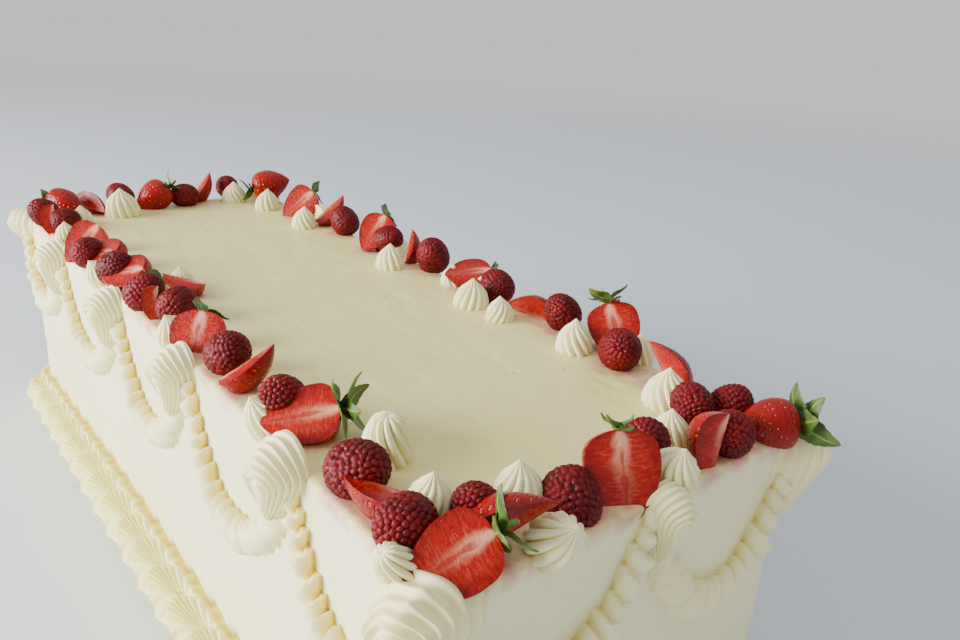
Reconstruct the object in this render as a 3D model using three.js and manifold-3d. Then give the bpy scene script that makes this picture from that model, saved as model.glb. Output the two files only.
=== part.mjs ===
// A long sheet cake in ivory buttercream. Peak shells and swags are piped round the top of its sides,
// a shell border runs round its foot, and strawberries, raspberries and piped stars ring its top.
// Sizes are in millimetres and angles in degrees. +X runs along the cake and +Z is up. The origin is
// the middle of the underside. The left side faces -Y and the near end faces +X.

import * as THREE from "three";
import { mergeVertices } from "three/addons/utils/BufferGeometryUtils.js";
import Module from "manifold-3d";

const wasm = await Module();
wasm.setup();

// Driving dimensions of the cake
const LENGTH = 546;
const WIDTH = 200;
const HEIGHT = 150;
const CORNER_RADIUS = 10;
const EDGE_RADIUS = 2.5;
// How far a long side is drawn in at its middle, and the flat steps that it is drawn in by
const SIDE_BOW = 3;
const SIDE_STEPS = 8;
// The clearance between neighbours, the piping's distance from its side, and how deep fruits sit
const GAP = 0.3;
const BACK = 0.4;
const SINK = 2.5;

// Border of shells at the foot. Its section runs from the foot of its back round to the top of its back.
const BORDER = { proud: 21, height: 23, pitch: 29.5, steps: 3, dip: 0.24, ease: 3.4 };
const BORDER_SECTION = [[0, 0], [1, 0], [0.86, 0.8], [0, 1]];

// Piping round the top of the sides: the peak shells, and the swags that hang between them
const SHELL = {
  radius: 14.5, proud: 17.5, tail: 31, turns: 8, arches: 2, ridge: 1.4, top: 147, root: 12, focus: 3, wrap: 45,
};
const SWAG = { radius: 9, proud: 9, turns: 5, pitch: 17, ruffle: 0.2, slack: 1.25, fall: 2.4, taper: 0.2 };

// Whole fruits, leaves and piped stars, before they are turned or cut
const RASPBERRY = { length: 24, width: 22, bump: 0.06, turns: 8, rings: 5 };
const STRAWBERRY = { length: 36, width: 29, slice: 8, turns: 8 };
const LEAF = { length: 15, width: 6.5, thickness: 0.9, wave: 1.2, steps: 2 };
const STAR = { width: 20, height: 17, lobes: 4, groove: 0.2, twist: 25, root: 2 };

const HALF_LENGTH = LENGTH / 2;
const HALF_WIDTH = WIDTH / 2;
const UP = new THREE.Vector3(0, 0, 1);

// The four sides. Each starts at a corner; "run" goes along its top edge, and "out" leaves the cake.
const SIDES = {
  left: { start: [HALF_LENGTH, -HALF_WIDTH], run: [-1, 0], out: [0, -1] },
  near: { start: [HALF_LENGTH, -HALF_WIDTH], run: [0, 1], out: [1, 0] },
  right: { start: [HALF_LENGTH, HALF_WIDTH], run: [-1, 0], out: [0, 1] },
  far: { start: [-HALF_LENGTH, HALF_WIDTH], run: [0, -1], out: [-1, 0] },
};

// The peak shells of each side by their distance along it, and its swags between two such distances.
// A corner shell is turned off its side by "wrap". "drop" lowers a shell, "slant" swings its tail along
// the side, and "focus" shifts the middle of its arches. "ends" are a swag's heights at its two ends,
// "low" is its lowest height and "at" is where that lies.
const PIPING = {
  left: {
    shells: [{ along: 9, corner: true, wrap: 14, size: 1.1, drop: 7 }, { along: 98 }, { along: 213, drop: 4 },
      { along: 325, drop: 7 }, { along: 451, drop: 9 }, { along: LENGTH, corner: true, drop: 4 }],
    swags: [{ from: 96, to: 4, low: 93 }, { from: 206, to: 101, low: 91 }, { from: 320, to: 216, low: 89 },
      { from: 446, to: 328, low: 88 }, { from: 543, to: 454, low: 92 }],
  },
  right: {
    shells: [{ along: 0, corner: true, drop: 9 }, { along: 106 }, { along: 216 }, { along: 330 }, { along: 440 },
      { along: LENGTH, corner: true, drop: 4 }],
    swags: [{ from: 5, to: 103, low: 93 }, { from: 111, to: 213, low: 91 }, { from: 221, to: 327, low: 90 },
      { from: 335, to: 437, low: 92 }, { from: 445, to: 542, low: 91 }],
  },
  near: {
    shells: [{ along: 104, slant: -3, focus: -3, size: 0.78, drop: 2 }],
    swags: [{ from: 98, to: 4, low: 98 }, { from: 196, to: 103, low: 89, at: 0.56, ends: [148, 130] }],
  },
  far: {
    shells: [{ along: 104, slant: -5, focus: 0 }],
    swags: [{ from: 4, to: 102, low: 95 }, { from: 108, to: 196, low: 93 }],
  },
};

// The piped stars. "inset" is the distance in from the top edge, and "lean" tips a star over that edge.
const STARS = [
  { side: "left", along: 19, inset: 0, lean: 35, size: 0.75 },
  { side: "left", along: 80, inset: 32, size: 1.1 },
  { side: "left", along: 129, inset: 7, lean: 30 },
  { side: "left", along: 236, inset: 6, lean: 25, size: 0.95 },
  { side: "left", along: 316, inset: 36, size: 0.8 },
  { side: "left", along: 353, inset: 3, lean: 30, size: 0.9 },
  { side: "left", along: 458, inset: 7, size: 0.75 },
  { side: "left", along: 498, inset: 28, size: 0.85 },
  { side: "near", along: 25, inset: 40 },
  { side: "near", along: 56, inset: 28 },
  { side: "near", along: 48, inset: 3, lean: 42, size: 1.05 },
  { side: "near", along: 115, inset: 7, lean: 18, size: 1.05 },
  { side: "near", along: 141, inset: 27, size: 0.85 },
  { side: "right", along: 50, inset: 32, size: 1.1 },
  { side: "right", along: 92, inset: 0, size: 0.85 },
  { side: "right", along: 120, inset: 20, size: 1.05 },
  { side: "right", along: 176, inset: 24, size: 0.85 },
  { side: "right", along: 203, inset: 24, size: 1.05 },
  { side: "right", along: 243, inset: 7, size: 0.8 },
  { side: "right", along: 294, inset: 23 },
  { side: "right", along: 420, inset: 24 },
  { side: "right", along: 490, inset: 24, size: 1.05 },
  { side: "far", along: 38, inset: 17, size: 1.05 },
  { side: "far", along: 137, inset: 32, size: 1.3 },
];

// The raspberries. "tip" is the way the tip points in plan, from +X, and "rise" lifts it.
const RASPBERRIES = [
  { side: "left", along: 29, inset: 7, tip: -60, rise: 20 },
  { side: "left", along: 65, inset: 11, tip: 20, rise: 25, size: 1.05 },
  { side: "left", along: 128, inset: 12, tip: -70, rise: 55 },
  { side: "left", along: 186, inset: 12, tip: 10, rise: 35, size: 1.02 },
  { side: "left", along: 264, inset: 16, tip: 130, rise: 10 },
  { side: "left", along: 291, inset: 7, tip: 60, rise: 40, size: 0.98 },
  { side: "left", along: 343, inset: 7, tip: 20, rise: 30, size: 1.02 },
  { side: "left", along: 385, inset: 2, tip: -30, rise: 20 },
  { side: "left", along: 482, inset: 13, tip: 80, rise: 10, size: 0.9 },
  { side: "left", along: 505, inset: 4, tip: -60, rise: 40 },
  { side: "near", along: 32, inset: 22, tip: -120, rise: 60, size: 0.9 },
  { side: "near", along: 69, inset: 14, tip: -25, rise: -22, size: 1.05, lift: -5 },
  { side: "near", along: 115, inset: 21, tip: 60, rise: 70, size: 1.05, lift: -3 },
  { side: "near", along: 155, inset: 8, tip: -40, rise: 40, lift: -2 },
  { side: "near", along: 164, inset: 34, tip: 150, rise: 20, size: 0.92 },
  { side: "near", along: 181, inset: 25, tip: 60, rise: 30, size: 0.85 },
  { side: "right", along: 91, inset: 18, tip: -50, rise: 30, size: 1.08 },
  { side: "right", along: 147, inset: 3, tip: -100, rise: 50 },
  { side: "right", along: 205, inset: 2, tip: 170, rise: 20 },
  { side: "right", along: 273, inset: 2, tip: -60, rise: 60, size: 1.1 },
  { side: "right", along: 329, inset: 2, tip: 20, rise: 20 },
  { side: "right", along: 388, inset: 5, tip: 190, rise: 40, size: 1.05 },
  { side: "right", along: 520, inset: 8, tip: 120, rise: 20, size: 0.9 },
  { side: "far", along: 38, inset: 2, tip: -20, rise: 30, size: 0.95, lift: 2 },
  { side: "far", along: 82, inset: 16, tip: -80, rise: 10 },
  { side: "far", along: 130, inset: 2, tip: 200, rise: 30 },
];

// The cut strawberries. "faces" and "raised" aim the cut face, in plan from +X and above level, and
// "turned" is the way the tip points on it: 0 is up, 90 to the right and 180 down.
const STRAWBERRIES = [
  { side: "left", along: 50, inset: 12, cut: "quarter", faces: 130, raised: -55, turned: 80, size: 0.85 },
  { side: "left", along: 112, inset: 12, cut: "half", faces: -50, raised: 50, turned: -110, leaves: 4, size: 0.93 },
  { side: "left", along: 166, inset: 12, cut: "quarter", faces: -60, raised: 35, turned: 45, size: 0.85 },
  { side: "left", along: 218, inset: 8, cut: "half", faces: -45, raised: 35, turned: 180, leaves: 2, lift: -7,
    size: 0.95 },
  { side: "left", along: 270, inset: 7, cut: "quarter", faces: -60, raised: 10, turned: 180, size: 0.6 },
  { side: "left", along: 304, inset: 34, cut: "quarter", faces: 140, raised: -30, turned: 80, size: 0.75 },
  { side: "left", along: 333, inset: 9, cut: "slice", faces: -70, raised: 55, turned: -110, leaves: 1, size: 0.9 },
  { side: "left", along: 378, inset: 9, cut: "slice", faces: -80, raised: 55, turned: -100, size: 0.9 },
  { side: "left", along: 420, inset: 8, cut: "half", faces: -40, raised: 35, turned: -150, lift: -4, size: 0.92 },
  { side: "left", along: 482, inset: 6, cut: "quarter", faces: -60, raised: 20, turned: 160, size: 0.75, lift: -2 },
  { side: "left", along: 532, inset: 26, cut: "half", faces: 120, raised: -30, turned: -90, leaves: 2, size: 0.85 },
  { side: "near", along: 10, inset: 8, cut: "half", faces: -40, raised: 42, turned: -125, leaves: 4, lift: -2,
    size: 0.96 },
  { side: "near", along: 36, inset: 8, cut: "quarter", faces: 130, raised: -20, turned: -50, size: 0.95 },
  { side: "near", along: 89, inset: 13, cut: "half", faces: -30, raised: 24, turned: 175, leaves: 3, size: 1.02,
    lift: -6 },
  { side: "near", along: 141, inset: 3, cut: "quarter", faces: -60, raised: 20, turned: 185, size: 0.92, lift: -7 },
  { side: "near", along: 180, inset: 6, cut: "half", faces: 150, raised: -55, turned: 90, leaves: 4, size: 0.78 },
  { side: "right", along: 66, inset: 15, cut: "quarter", faces: -50, raised: 25, turned: -30, size: 0.9, lift: -3 },
  { side: "right", along: 108, inset: 2, cut: "half", faces: -50, raised: 35, turned: 160, leaves: 3, size: 0.95 },
  { side: "right", along: 174, inset: 4, cut: "quarter", faces: -70, raised: 40, turned: -80, size: 0.9 },
  { side: "right", along: 233, inset: 2, cut: "half", faces: -39, raised: 68, turned: -105, leaves: 3, size: 0.9 },
  { side: "right", along: 302, inset: 3, cut: "quarter", faces: -60, raised: 30, turned: 0, size: 0.75 },
  { side: "right", along: 335, inset: 10, cut: "half", faces: -50, raised: 35, turned: 200, leaves: 2, size: 0.9,
    lift: 3 },
  { side: "right", along: 420, inset: 2, cut: "quarter", faces: -40, raised: 20, turned: 45, size: 0.9 },
  { side: "right", along: 455, inset: 11, cut: "half", faces: -50, raised: 30, turned: -140, leaves: 2, size: 0.95 },
  { side: "right", along: 510, inset: 11, cut: "half", faces: 140, raised: -30, turned: -70, leaves: 3, size: 0.95,
    lift: 5 },
  { side: "far", along: 64, inset: 3, cut: "quarter", faces: -40, raised: 30, turned: 30, size: 0.85 },
  { side: "far", along: 107, inset: 15, cut: "half", faces: 150, raised: -30, turned: 130, leaves: 1, size: 0.9 },
  { side: "far", along: 160, inset: 18, cut: "quarter", faces: 120, raised: -70, turned: -90 },
];

const radians = THREE.MathUtils.degToRad;

// 0 below "low", 1 above "high", and a smooth step between them
function step(value, low, high) {
  return THREE.MathUtils.smoothstep(value, low, high);
}

// The direction that points "azimuth" from +X in plan and "elevation" above level
function heading(azimuth, elevation) {
  return new THREE.Vector3().setFromSphericalCoords(1, radians(90 - elevation), radians(azimuth + 90))
    .applyMatrix4(new THREE.Matrix4().makeRotationX(Math.PI / 2));
}

// How far a long side is drawn in at x: most at its middle, and nothing at the corners
function bow(x) {
  return SIDE_BOW * Math.max(0, 1 - (x / (HALF_LENGTH - CORNER_RADIUS)) ** 2);
}

// The point that lies "along" a side's top edge, "proud" of the side, at height z
function onSide(side, along, proud, z) {
  const { start, run, out } = SIDES[side];
  const x = start[0] + run[0] * along + out[0] * proud;
  const y = start[1] + run[1] * along + out[1] * (proud - bow(x));
  return new THREE.Vector3(x, y, z);
}

// A solid from a closed geometry, with its shared vertices merged and its faces turned outwards
function solid(geometry) {
  geometry.deleteAttribute("normal");
  geometry.deleteAttribute("uv");
  const merged = mergeVertices(geometry, 1e-4);
  const { position } = merged.attributes;
  const corners = [new THREE.Vector3(), new THREE.Vector3(), new THREE.Vector3()];
  const faces = [];
  let volume = 0;
  for (let i = 0; i < merged.index.count; i += 3) {
    const face = [0, 1, 2].map((k) => merged.index.getX(i + k));
    if (new Set(face).size === 3) {
      faces.push(face);
      corners.forEach((corner, k) => corner.fromBufferAttribute(position, face[k]));
      volume += corners[0].dot(corners[1].clone().cross(corners[2]));
    }
  }
  const triVerts = Uint32Array.from(faces.flatMap(([a, b, c]) => (volume > 0 ? [a, b, c] : [a, c, b])));
  const vertProperties = Float32Array.from(position.array);
  return new wasm.Manifold(new wasm.Mesh({ numProp: 3, vertProperties, triVerts }));
}

// The geometry of a solid
function geometryOf(body) {
  const { vertProperties, triVerts } = body.getMesh();
  const geometry = new THREE.BufferGeometry();
  geometry.setAttribute("position", new THREE.BufferAttribute(vertProperties, 3));
  geometry.setIndex(new THREE.BufferAttribute(triVerts, 1));
  geometry.computeVertexNormals();
  return geometry;
}

// Moves every vertex of a geometry to place(u, v), from its own place on the surface
function shaped(geometry, place) {
  const { position, uv } = geometry.attributes;
  for (let i = 0; i < position.count; i += 1) {
    const { x, y, z } = place(uv.getX(i), 1 - uv.getY(i));
    position.setXYZ(i, x, y, z);
  }
  return geometry;
}

// A solid as a ball whose points are placed by their turn u and their ring v, both from 0 to 1
function ball(turns, rings, place) {
  return solid(shaped(new THREE.SphereGeometry(1, turns, rings), place));
}

function moved(body, matrix) {
  return body.transform(matrix.elements);
}

function biggest(body) {
  return body.decompose().reduce((best, part) => (part.volume() > best.volume() ? part : best));
}

// The cake's body, with its outside moved out by "grow"
function cakeBody(grow) {
  const x = HALF_LENGTH;
  const y = HALF_WIDTH;
  const r = CORNER_RADIUS;
  const outline = new THREE.Shape();
  const stations = Array.from({ length: SIDE_STEPS - 1 }, (_, k) => (x - r) * ((2 * (k + 1)) / SIDE_STEPS - 1));
  outline.moveTo(r - x, -y);
  stations.forEach((along) => outline.lineTo(along, bow(along) - y));
  outline.absarc(x - r, r - y, r, -Math.PI / 2, 0, false);
  outline.absarc(x - r, y - r, r, 0, Math.PI / 2, false);
  stations.forEach((along) => outline.lineTo(-along, y - bow(along)));
  outline.absarc(r - x, y - r, r, Math.PI / 2, Math.PI, false);
  outline.absarc(r - x, r - y, r, Math.PI, 1.5 * Math.PI, false);
  const geometry = new THREE.ExtrudeGeometry(outline, {
    depth: HEIGHT + 2 * grow - 2 * EDGE_RADIUS,
    bevelThickness: EDGE_RADIUS,
    bevelSize: EDGE_RADIUS,
    bevelOffset: grow - EDGE_RADIUS,
    bevelSegments: 2,
    curveSegments: 5,
  });
  geometry.translate(0, 0, EDGE_RADIUS - grow);
  return solid(geometry);
}

// A piped star: a ridged, twisted cone with a drawn-out tip, rooted in the cream below it
function star({ side, along, inset, size = 1, lean = 0 }, grow) {
  const width = STAR.width * size + 2 * grow;
  const height = STAR.height * size + grow;
  const profile = [[0, 0], [0.48, 0.08], [0.34, 0.58], [0, 1]];
  const geometry = new THREE.LatheGeometry(
    profile.map(([r, rise]) => new THREE.Vector2(r * width, rise * (height + STAR.root) - STAR.root)),
    2 * STAR.lobes,
  );
  const { position } = geometry.attributes;
  for (let i = 0; i < position.count; i += 1) {
    const [x, rise, y] = [position.getX(i), position.getY(i), position.getZ(i)];
    const angle = Math.atan2(y, x);
    const radius = Math.hypot(x, y) * (1 - STAR.groove * Math.sin((STAR.lobes * angle) / 2) ** 2);
    const turned = angle + radians(STAR.twist) * (rise / height);
    position.setXYZ(i, radius * Math.cos(turned), radius * Math.sin(turned), rise);
  }
  const { out } = SIDES[side];
  const tilt = heading(THREE.MathUtils.radToDeg(Math.atan2(out[1], out[0])), 90 - lean);
  const turn = new THREE.Matrix4().makeRotationFromQuaternion(new THREE.Quaternion().setFromUnitVectors(UP, tilt));
  return moved(solid(geometry), turn.setPosition(onSide(side, along, -inset, HEIGHT)));
}

// A peak shell: nested arches of cream that run up from its tail, over its top and down again. Its
// rings run out from the middle of its arches, and the last ones close its root inside the cake.
function shell(row, grow) {
  const { side, along, slant = -10, corner = false, size = 1, drop = 0 } = row;
  const { focus = corner ? 0 : SHELL.focus, wrap = SHELL.wrap } = row;
  const radius = SHELL.radius * size + grow;
  const proud = SHELL.proud * size + grow;
  const middle = onSide(side, along, 0, SHELL.top - drop);
  const out = new THREE.Vector3(...SIDES[side].out, 0);
  if (corner) {
    out.set(Math.sign(middle.x) * Math.sin(radians(wrap)), Math.sign(middle.y) * Math.cos(radians(wrap)), 0);
    middle.addScaledVector(out, -(Math.SQRT2 - 1) * CORNER_RADIUS * Math.sin(2 * radians(wrap)));
  }
  const back = corner ? -SHELL.root : BACK;
  const right = UP.clone().cross(out);
  const frontRings = 2 * SHELL.arches + 1;
  const rings = frontRings + 2;
  return ball(SHELL.turns, rings, (u, v) => {
    const ring = Math.round(v * rings);
    const angle = 2 * Math.PI * u;
    const spread = Math.min(1, ring / frontRings);
    const pull = step(-Math.cos(angle), 0, 1.05) * step(spread, 0, 0.25);
    const reach = radius * spread * (1 - pull);
    const shift = focus * (1 - spread) * (1 - pull);
    const across = reach * Math.sin(angle) + slant * pull * Math.sqrt(spread) + shift;
    const rise = reach * Math.cos(angle) - SHELL.tail * size * pull * Math.sqrt(spread) - Math.abs(shift);
    const arch = SHELL.ridge * Math.cos(Math.PI * ring) * (1 - pull);
    const dome = Math.sqrt(1 - spread * spread) * proud * (1 - 0.4 * pull) - arch;
    const deep = ring >= frontRings ? back : Math.max(dome, back);
    const shrink = Math.min(1, (rings - ring) / 2.5);
    return middle.clone().addScaledVector(right, across * shrink).addScaledVector(UP, rise * shrink)
      .addScaledVector(out, deep);
  });
}

// A swag: a ruffled rope of cream that hangs along its side between two peak shells
function swag({ side, from, to, ends = [149, 130], low, at = 0.5 }, grow) {
  const rings = 2 * Math.round((SWAG.slack * Math.abs(to - from)) / SWAG.pitch);
  const centre = (t) => {
    const droop = t < at ? t / at : (1 - t) / (1 - at);
    const level = ends[0] + (ends[1] - ends[0]) * t;
    return { along: from + (to - from) * t, z: level - (level - low) * (1 - (1 - droop) ** SWAG.fall) };
  };
  return ball(SWAG.turns, rings, (u, v) => {
    const here = centre(v);
    const before = centre(Math.max(0, v - 0.01));
    const after = centre(Math.min(1, v + 0.01));
    const slope = Math.atan2(after.z - before.z, after.along - before.along);
    const taper = (4 * v * (1 - v)) ** SWAG.taper;
    const swell = 1 + SWAG.ruffle * Math.cos(Math.PI * rings * v);
    const angle = 2 * Math.PI * u;
    const across = (SWAG.radius * swell + grow) * taper * Math.cos(angle);
    const deep = Math.max((SWAG.proud * swell + grow) * taper * Math.sin(angle), BACK);
    return onSide(side, here.along - across * Math.sin(slope), deep, here.z + across * Math.cos(slope));
  });
}

// All the piping of one side as one body, grown or at its true size
function piping(side, grow) {
  const { shells, swags } = PIPING[side];
  const parts = [...shells.map((row) => shell({ side, ...row }, grow)),
    ...swags.map((row) => swag({ side, ...row }, grow))];
  return parts.reduce((sum, part) => sum.add(part));
}

// The border: a ring of shells round the foot. Each is biggest at its head and shrinks to its tail,
// which the next one's head covers.
function border() {
  const straights = [LENGTH, WIDTH, LENGTH, WIDTH].map((size) => size - 2 * CORNER_RADIUS);
  const quarter = (Math.PI / 2) * CORNER_RADIUS;
  const around = straights.reduce((sum, size) => sum + size + quarter, 0);
  const count = Math.round(around / BORDER.pitch);
  // The centre of curvature beside a point of the outline, and the way that the outline faces there
  const outlineAt = (distance) => {
    let rest = distance;
    let side = 0;
    while (side < 3 && rest > straights[side] + quarter) {
      rest -= straights[side] + quarter;
      side += 1;
    }
    const facing = (side - 1) * (Math.PI / 2);
    const run = [Math.cos(facing + Math.PI / 2), Math.sin(facing + Math.PI / 2)];
    const straight = Math.min(rest, straights[side]);
    const turn = Math.max(0, rest - straights[side]) / CORNER_RADIUS;
    const first = [[-1, -1], [1, -1], [1, 1], [-1, 1]][side];
    return {
      x: first[0] * (straights[0] / 2) + run[0] * straight,
      y: first[1] * (straights[1] / 2) + run[1] * straight,
      facing: facing + turn,
    };
  };
  const geometry = new THREE.TorusGeometry(1, 0.5, BORDER_SECTION.length, count * BORDER.steps);
  return solid(shaped(geometry, (u, v) => {
    const { x, y, facing } = outlineAt((u % 1) * around);
    const swell = 1 - BORDER.dip * ((u * count + 0.01) % 1);
    const [depth, rise] = BORDER_SECTION[Math.round(v * BORDER_SECTION.length) % BORDER_SECTION.length];
    const back = BACK - bow(x) * Math.abs(Math.sin(facing)) + BORDER.ease * Math.abs(Math.sin(2 * facing));
    const reach = CORNER_RADIUS + back + depth * (BORDER.proud * swell - back);
    return { x: x + reach * Math.cos(facing), y: y + reach * Math.sin(facing), z: rise * swell * BORDER.height };
  }));
}

// A raspberry with its tip along +X: a blunt cone whose drupelets stand out in staggered rows
function raspberry({ size = 1 }, grow) {
  const length = RASPBERRY.length * size + 2 * grow;
  const width = RASPBERRY.width * size + 2 * grow;
  return ball(RASPBERRY.turns, RASPBERRY.rings, (u, v) => {
    const ring = Math.round(v * RASPBERRY.rings);
    const angle = 2 * Math.PI * (u + (ring % 2) / (2 * RASPBERRY.turns));
    const bump = 1 + RASPBERRY.bump * Math.cos(Math.PI * (u * RASPBERRY.turns + ring));
    const radius = (width / 2) * Math.sin(Math.PI * v) ** 0.75 * (0.82 + 0.28 * v) * bump;
    return { x: (length / 2) * Math.cos(Math.PI * v), y: radius * Math.cos(angle), z: radius * Math.sin(angle) };
  });
}

// A whole strawberry with its tip along +X, widest a third of the way from its cap
function wholeStrawberry(size, grow) {
  const length = STRAWBERRY.length * size + 2 * grow;
  const width = STRAWBERRY.width * size + 2 * grow;
  const profile = [[0, 0.5], [0.3, 0.36], [0.49, -0.1], [0.4, -0.42], [0, -0.47]];
  const geometry = new THREE.LatheGeometry(
    profile.map(([r, x]) => new THREE.Vector2(r * width, x * length)), STRAWBERRY.turns);
  geometry.rotateZ(-Math.PI / 2);
  return solid(geometry);
}

// A box that spans from one corner to another, to cut with
function block(low, high) {
  const size = high.map((value, k) => value - low[k]);
  const geometry = new THREE.BoxGeometry(...size);
  geometry.translate(...low.map((value, k) => value + size[k] / 2));
  return solid(geometry);
}

// A leaf of the calyx: a thin, wavy, pointed blade that springs from the cap at one turn about it
function leaf(turn, spread, size, grow) {
  const geometry = new THREE.BoxGeometry(1, 1, 1, LEAF.steps, 1, 1);
  const { position } = geometry.attributes;
  for (let i = 0; i < position.count; i += 1) {
    const t = position.getX(i) + 0.5;
    const half = position.getY(i) * (LEAF.width * size * (0.25 + 0.9 * Math.sin(Math.PI * t ** 0.8)) * (1 - 0.5 * t));
    const lift = position.getZ(i) * (LEAF.thickness + grow) + LEAF.wave * Math.sin(2 * Math.PI * t);
    const reach = LEAF.length * size * t;
    position.setXYZ(i, -reach * Math.cos(radians(spread)) - lift * Math.sin(radians(spread)), half,
      reach * Math.sin(radians(spread)) - lift * Math.cos(radians(spread)));
  }
  geometry.rotateX(radians(turn));
  geometry.translate(-0.46 * STRAWBERRY.length * size, 0, 0);
  return solid(geometry);
}

// A strawberry as it lies on the cake before it is turned: its tip is along +X, its cut face looks
// along +Z, and its leaves fan round the half of the cap that was kept
function strawberry({ cut, size = 1, leaves = 0 }, grow) {
  const whole = wholeStrawberry(size, grow);
  const far = STRAWBERRY.length;
  const thick = STRAWBERRY.slice / 2 + grow;
  let body = whole.intersect(block([-far, -far, -far], [far, far, grow]));
  if (cut === "slice") body = whole.intersect(block([-far, -far, -thick], [far, far, thick]));
  if (cut === "quarter") {
    const wedge = block([-far, -far, -far], [far, grow, grow]);
    body = moved(whole.intersect(wedge), new THREE.Matrix4().makeRotationX(-Math.PI / 4));
  }
  for (let k = 0; k < leaves; k += 1) {
    const turn = 180 * ((k + 0.5) / leaves) + 90;
    body = body.add(leaf(turn, 50 + 35 * (k % 2), size, grow));
  }
  return body;
}

// The turn that aims a raspberry's tip
function raspberryTurn({ tip, rise }) {
  return new THREE.Quaternion().setFromUnitVectors(new THREE.Vector3(1, 0, 0), heading(tip, rise));
}

// The turn that aims a strawberry's cut face, and its tip on that face
function strawberryTurn({ faces, raised, turned }) {
  const face = heading(faces, raised);
  const up = heading(faces, raised + 90);
  const right = up.clone().cross(face);
  const tip = up.multiplyScalar(Math.cos(radians(turned))).addScaledVector(right, Math.sin(radians(turned)));
  return new THREE.Quaternion().setFromRotationMatrix(
    new THREE.Matrix4().makeBasis(tip, face.clone().cross(tip), face));
}

// Where a turned fruit has its middle, so that its lowest point is sunk a little into the top
function restingPlace({ side, along, inset, lift = 0 }, body, turn) {
  const turned = moved(body, new THREE.Matrix4().makeRotationFromQuaternion(turn));
  return onSide(side, along, -inset, HEIGHT - SINK + lift - turned.boundingBox().min[2]);
}

const materials = {
  cream: () => new THREE.MeshStandardMaterial({ color: 0xf3ead3, roughness: 0.55, metalness: 0 }),
  raspberry: () => new THREE.MeshStandardMaterial({ color: 0x8a0f1e, roughness: 0.4, metalness: 0 }),
  strawberry: () => new THREE.MeshStandardMaterial({ color: 0xc8201a, roughness: 0.35, metalness: 0 }),
};

const cake = new THREE.Group();

function add(name, material, geometry, place = new THREE.Vector3(), turn = new THREE.Quaternion()) {
  const mesh = new THREE.Mesh(geometry, materials[material]());
  mesh.name = name;
  mesh.position.copy(place);
  mesh.quaternion.copy(turn);
  cake.add(mesh);
}

const body = STARS.reduce((sum, row) => sum.add(star(row, 0)), cakeBody(0));
const bodyGrown = STARS.reduce((sum, row) => sum.add(star(row, GAP)), cakeBody(GAP));
add("cake", "cream", geometryOf(body));
add("border", "cream", geometryOf(border()));

// What each further piece is kept clear of: everything before it, grown by the gap
const taken = [bodyGrown];

function clearOfTaken(piece) {
  const clear = (rest, other) => (rest.intersect(other).isEmpty() ? rest : biggest(rest.subtract(other)));
  return taken.reduce(clear, piece);
}

Object.keys(PIPING).forEach((side) => {
  add(`piping_${side}`, "cream", geometryOf(clearOfTaken(piping(side, 0))));
  taken.push(piping(side, GAP));
});

function addFruit(kind, rows, make, turnOf) {
  rows.forEach((row, k) => {
    const fruit = make(row, 0);
    const turn = turnOf(row);
    const place = restingPlace(row, fruit, turn);
    const pose = new THREE.Matrix4().compose(place, turn, new THREE.Vector3(1, 1, 1));
    const trimmed = clearOfTaken(moved(fruit, pose));
    const name = `${kind}_${String(k + 1).padStart(2, "0")}`;
    add(name, kind, geometryOf(moved(trimmed, pose.clone().invert())), place, turn);
    taken.push(moved(make(row, GAP), pose));
  });
}

addFruit("raspberry", RASPBERRIES, raspberry, raspberryTurn);
addFruit("strawberry", STRAWBERRIES, strawberry, strawberryTurn);

export default cake;
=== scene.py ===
"""A long sheet cake in ivory buttercream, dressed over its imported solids.

The coat is a smooth, slightly uneven cream skin. Peak shells and ruffled swags hang round the top of
its sides, a shell border runs round its foot, and cut strawberries, raspberries and piped stars ring
its top. Shapes are worked out in millimetres and stored in metres. The left side faces -Y and the
near end faces +X.
"""

import logging
import math
from collections.abc import Callable
from dataclasses import dataclass, field
from enum import Enum

import bpy
import numpy as np
from mathutils import Euler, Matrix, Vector

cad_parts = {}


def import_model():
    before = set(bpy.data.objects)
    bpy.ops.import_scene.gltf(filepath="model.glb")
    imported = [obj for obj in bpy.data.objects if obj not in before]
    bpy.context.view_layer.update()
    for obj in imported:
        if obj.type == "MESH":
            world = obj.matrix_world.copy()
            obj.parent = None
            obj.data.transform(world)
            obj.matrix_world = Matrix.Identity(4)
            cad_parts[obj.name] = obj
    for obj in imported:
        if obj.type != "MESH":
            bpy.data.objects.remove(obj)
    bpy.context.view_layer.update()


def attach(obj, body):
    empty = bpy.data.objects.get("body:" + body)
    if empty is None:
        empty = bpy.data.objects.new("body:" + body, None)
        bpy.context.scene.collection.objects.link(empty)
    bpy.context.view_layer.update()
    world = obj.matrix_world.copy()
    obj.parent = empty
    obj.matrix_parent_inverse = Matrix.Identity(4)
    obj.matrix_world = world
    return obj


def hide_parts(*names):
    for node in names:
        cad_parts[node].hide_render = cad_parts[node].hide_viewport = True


LOG = logging.getLogger("sheet_cake")
MM = 0.001  # metres in a millimetre
SEED = 20  # the first of the seeds for the small differences between like pieces
Array = np.ndarray
Layers = dict[str, Array]
Place = Callable[[Array, Array], tuple[Array, Layers]]
CORNERS = ((-1, -1), (1, -1), (1, 1), (-1, 1))  # of a rectangle in plan, walked round once


def smoothstep(value: Array, low: float, high: float) -> Array:
    """0 below low, 1 above high, and a smooth cubic step between them.

    Args:
        value: The numbers to look at.
        low: Where the step begins.
        high: Where the step ends.

    Returns:
        A number from 0 to 1 for each value.
    """
    t = np.clip((value - low) / (high - low), 0.0, 1.0)
    return t * t * (3.0 - 2.0 * t)


def grooves(phase: Array) -> Array:
    """Rounded ridges with narrow valleys: 1 on a ridge and 0 in a valley, one ridge for each 1 of phase."""
    return np.abs(np.sin(np.pi * phase)) ** 0.7


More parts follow.
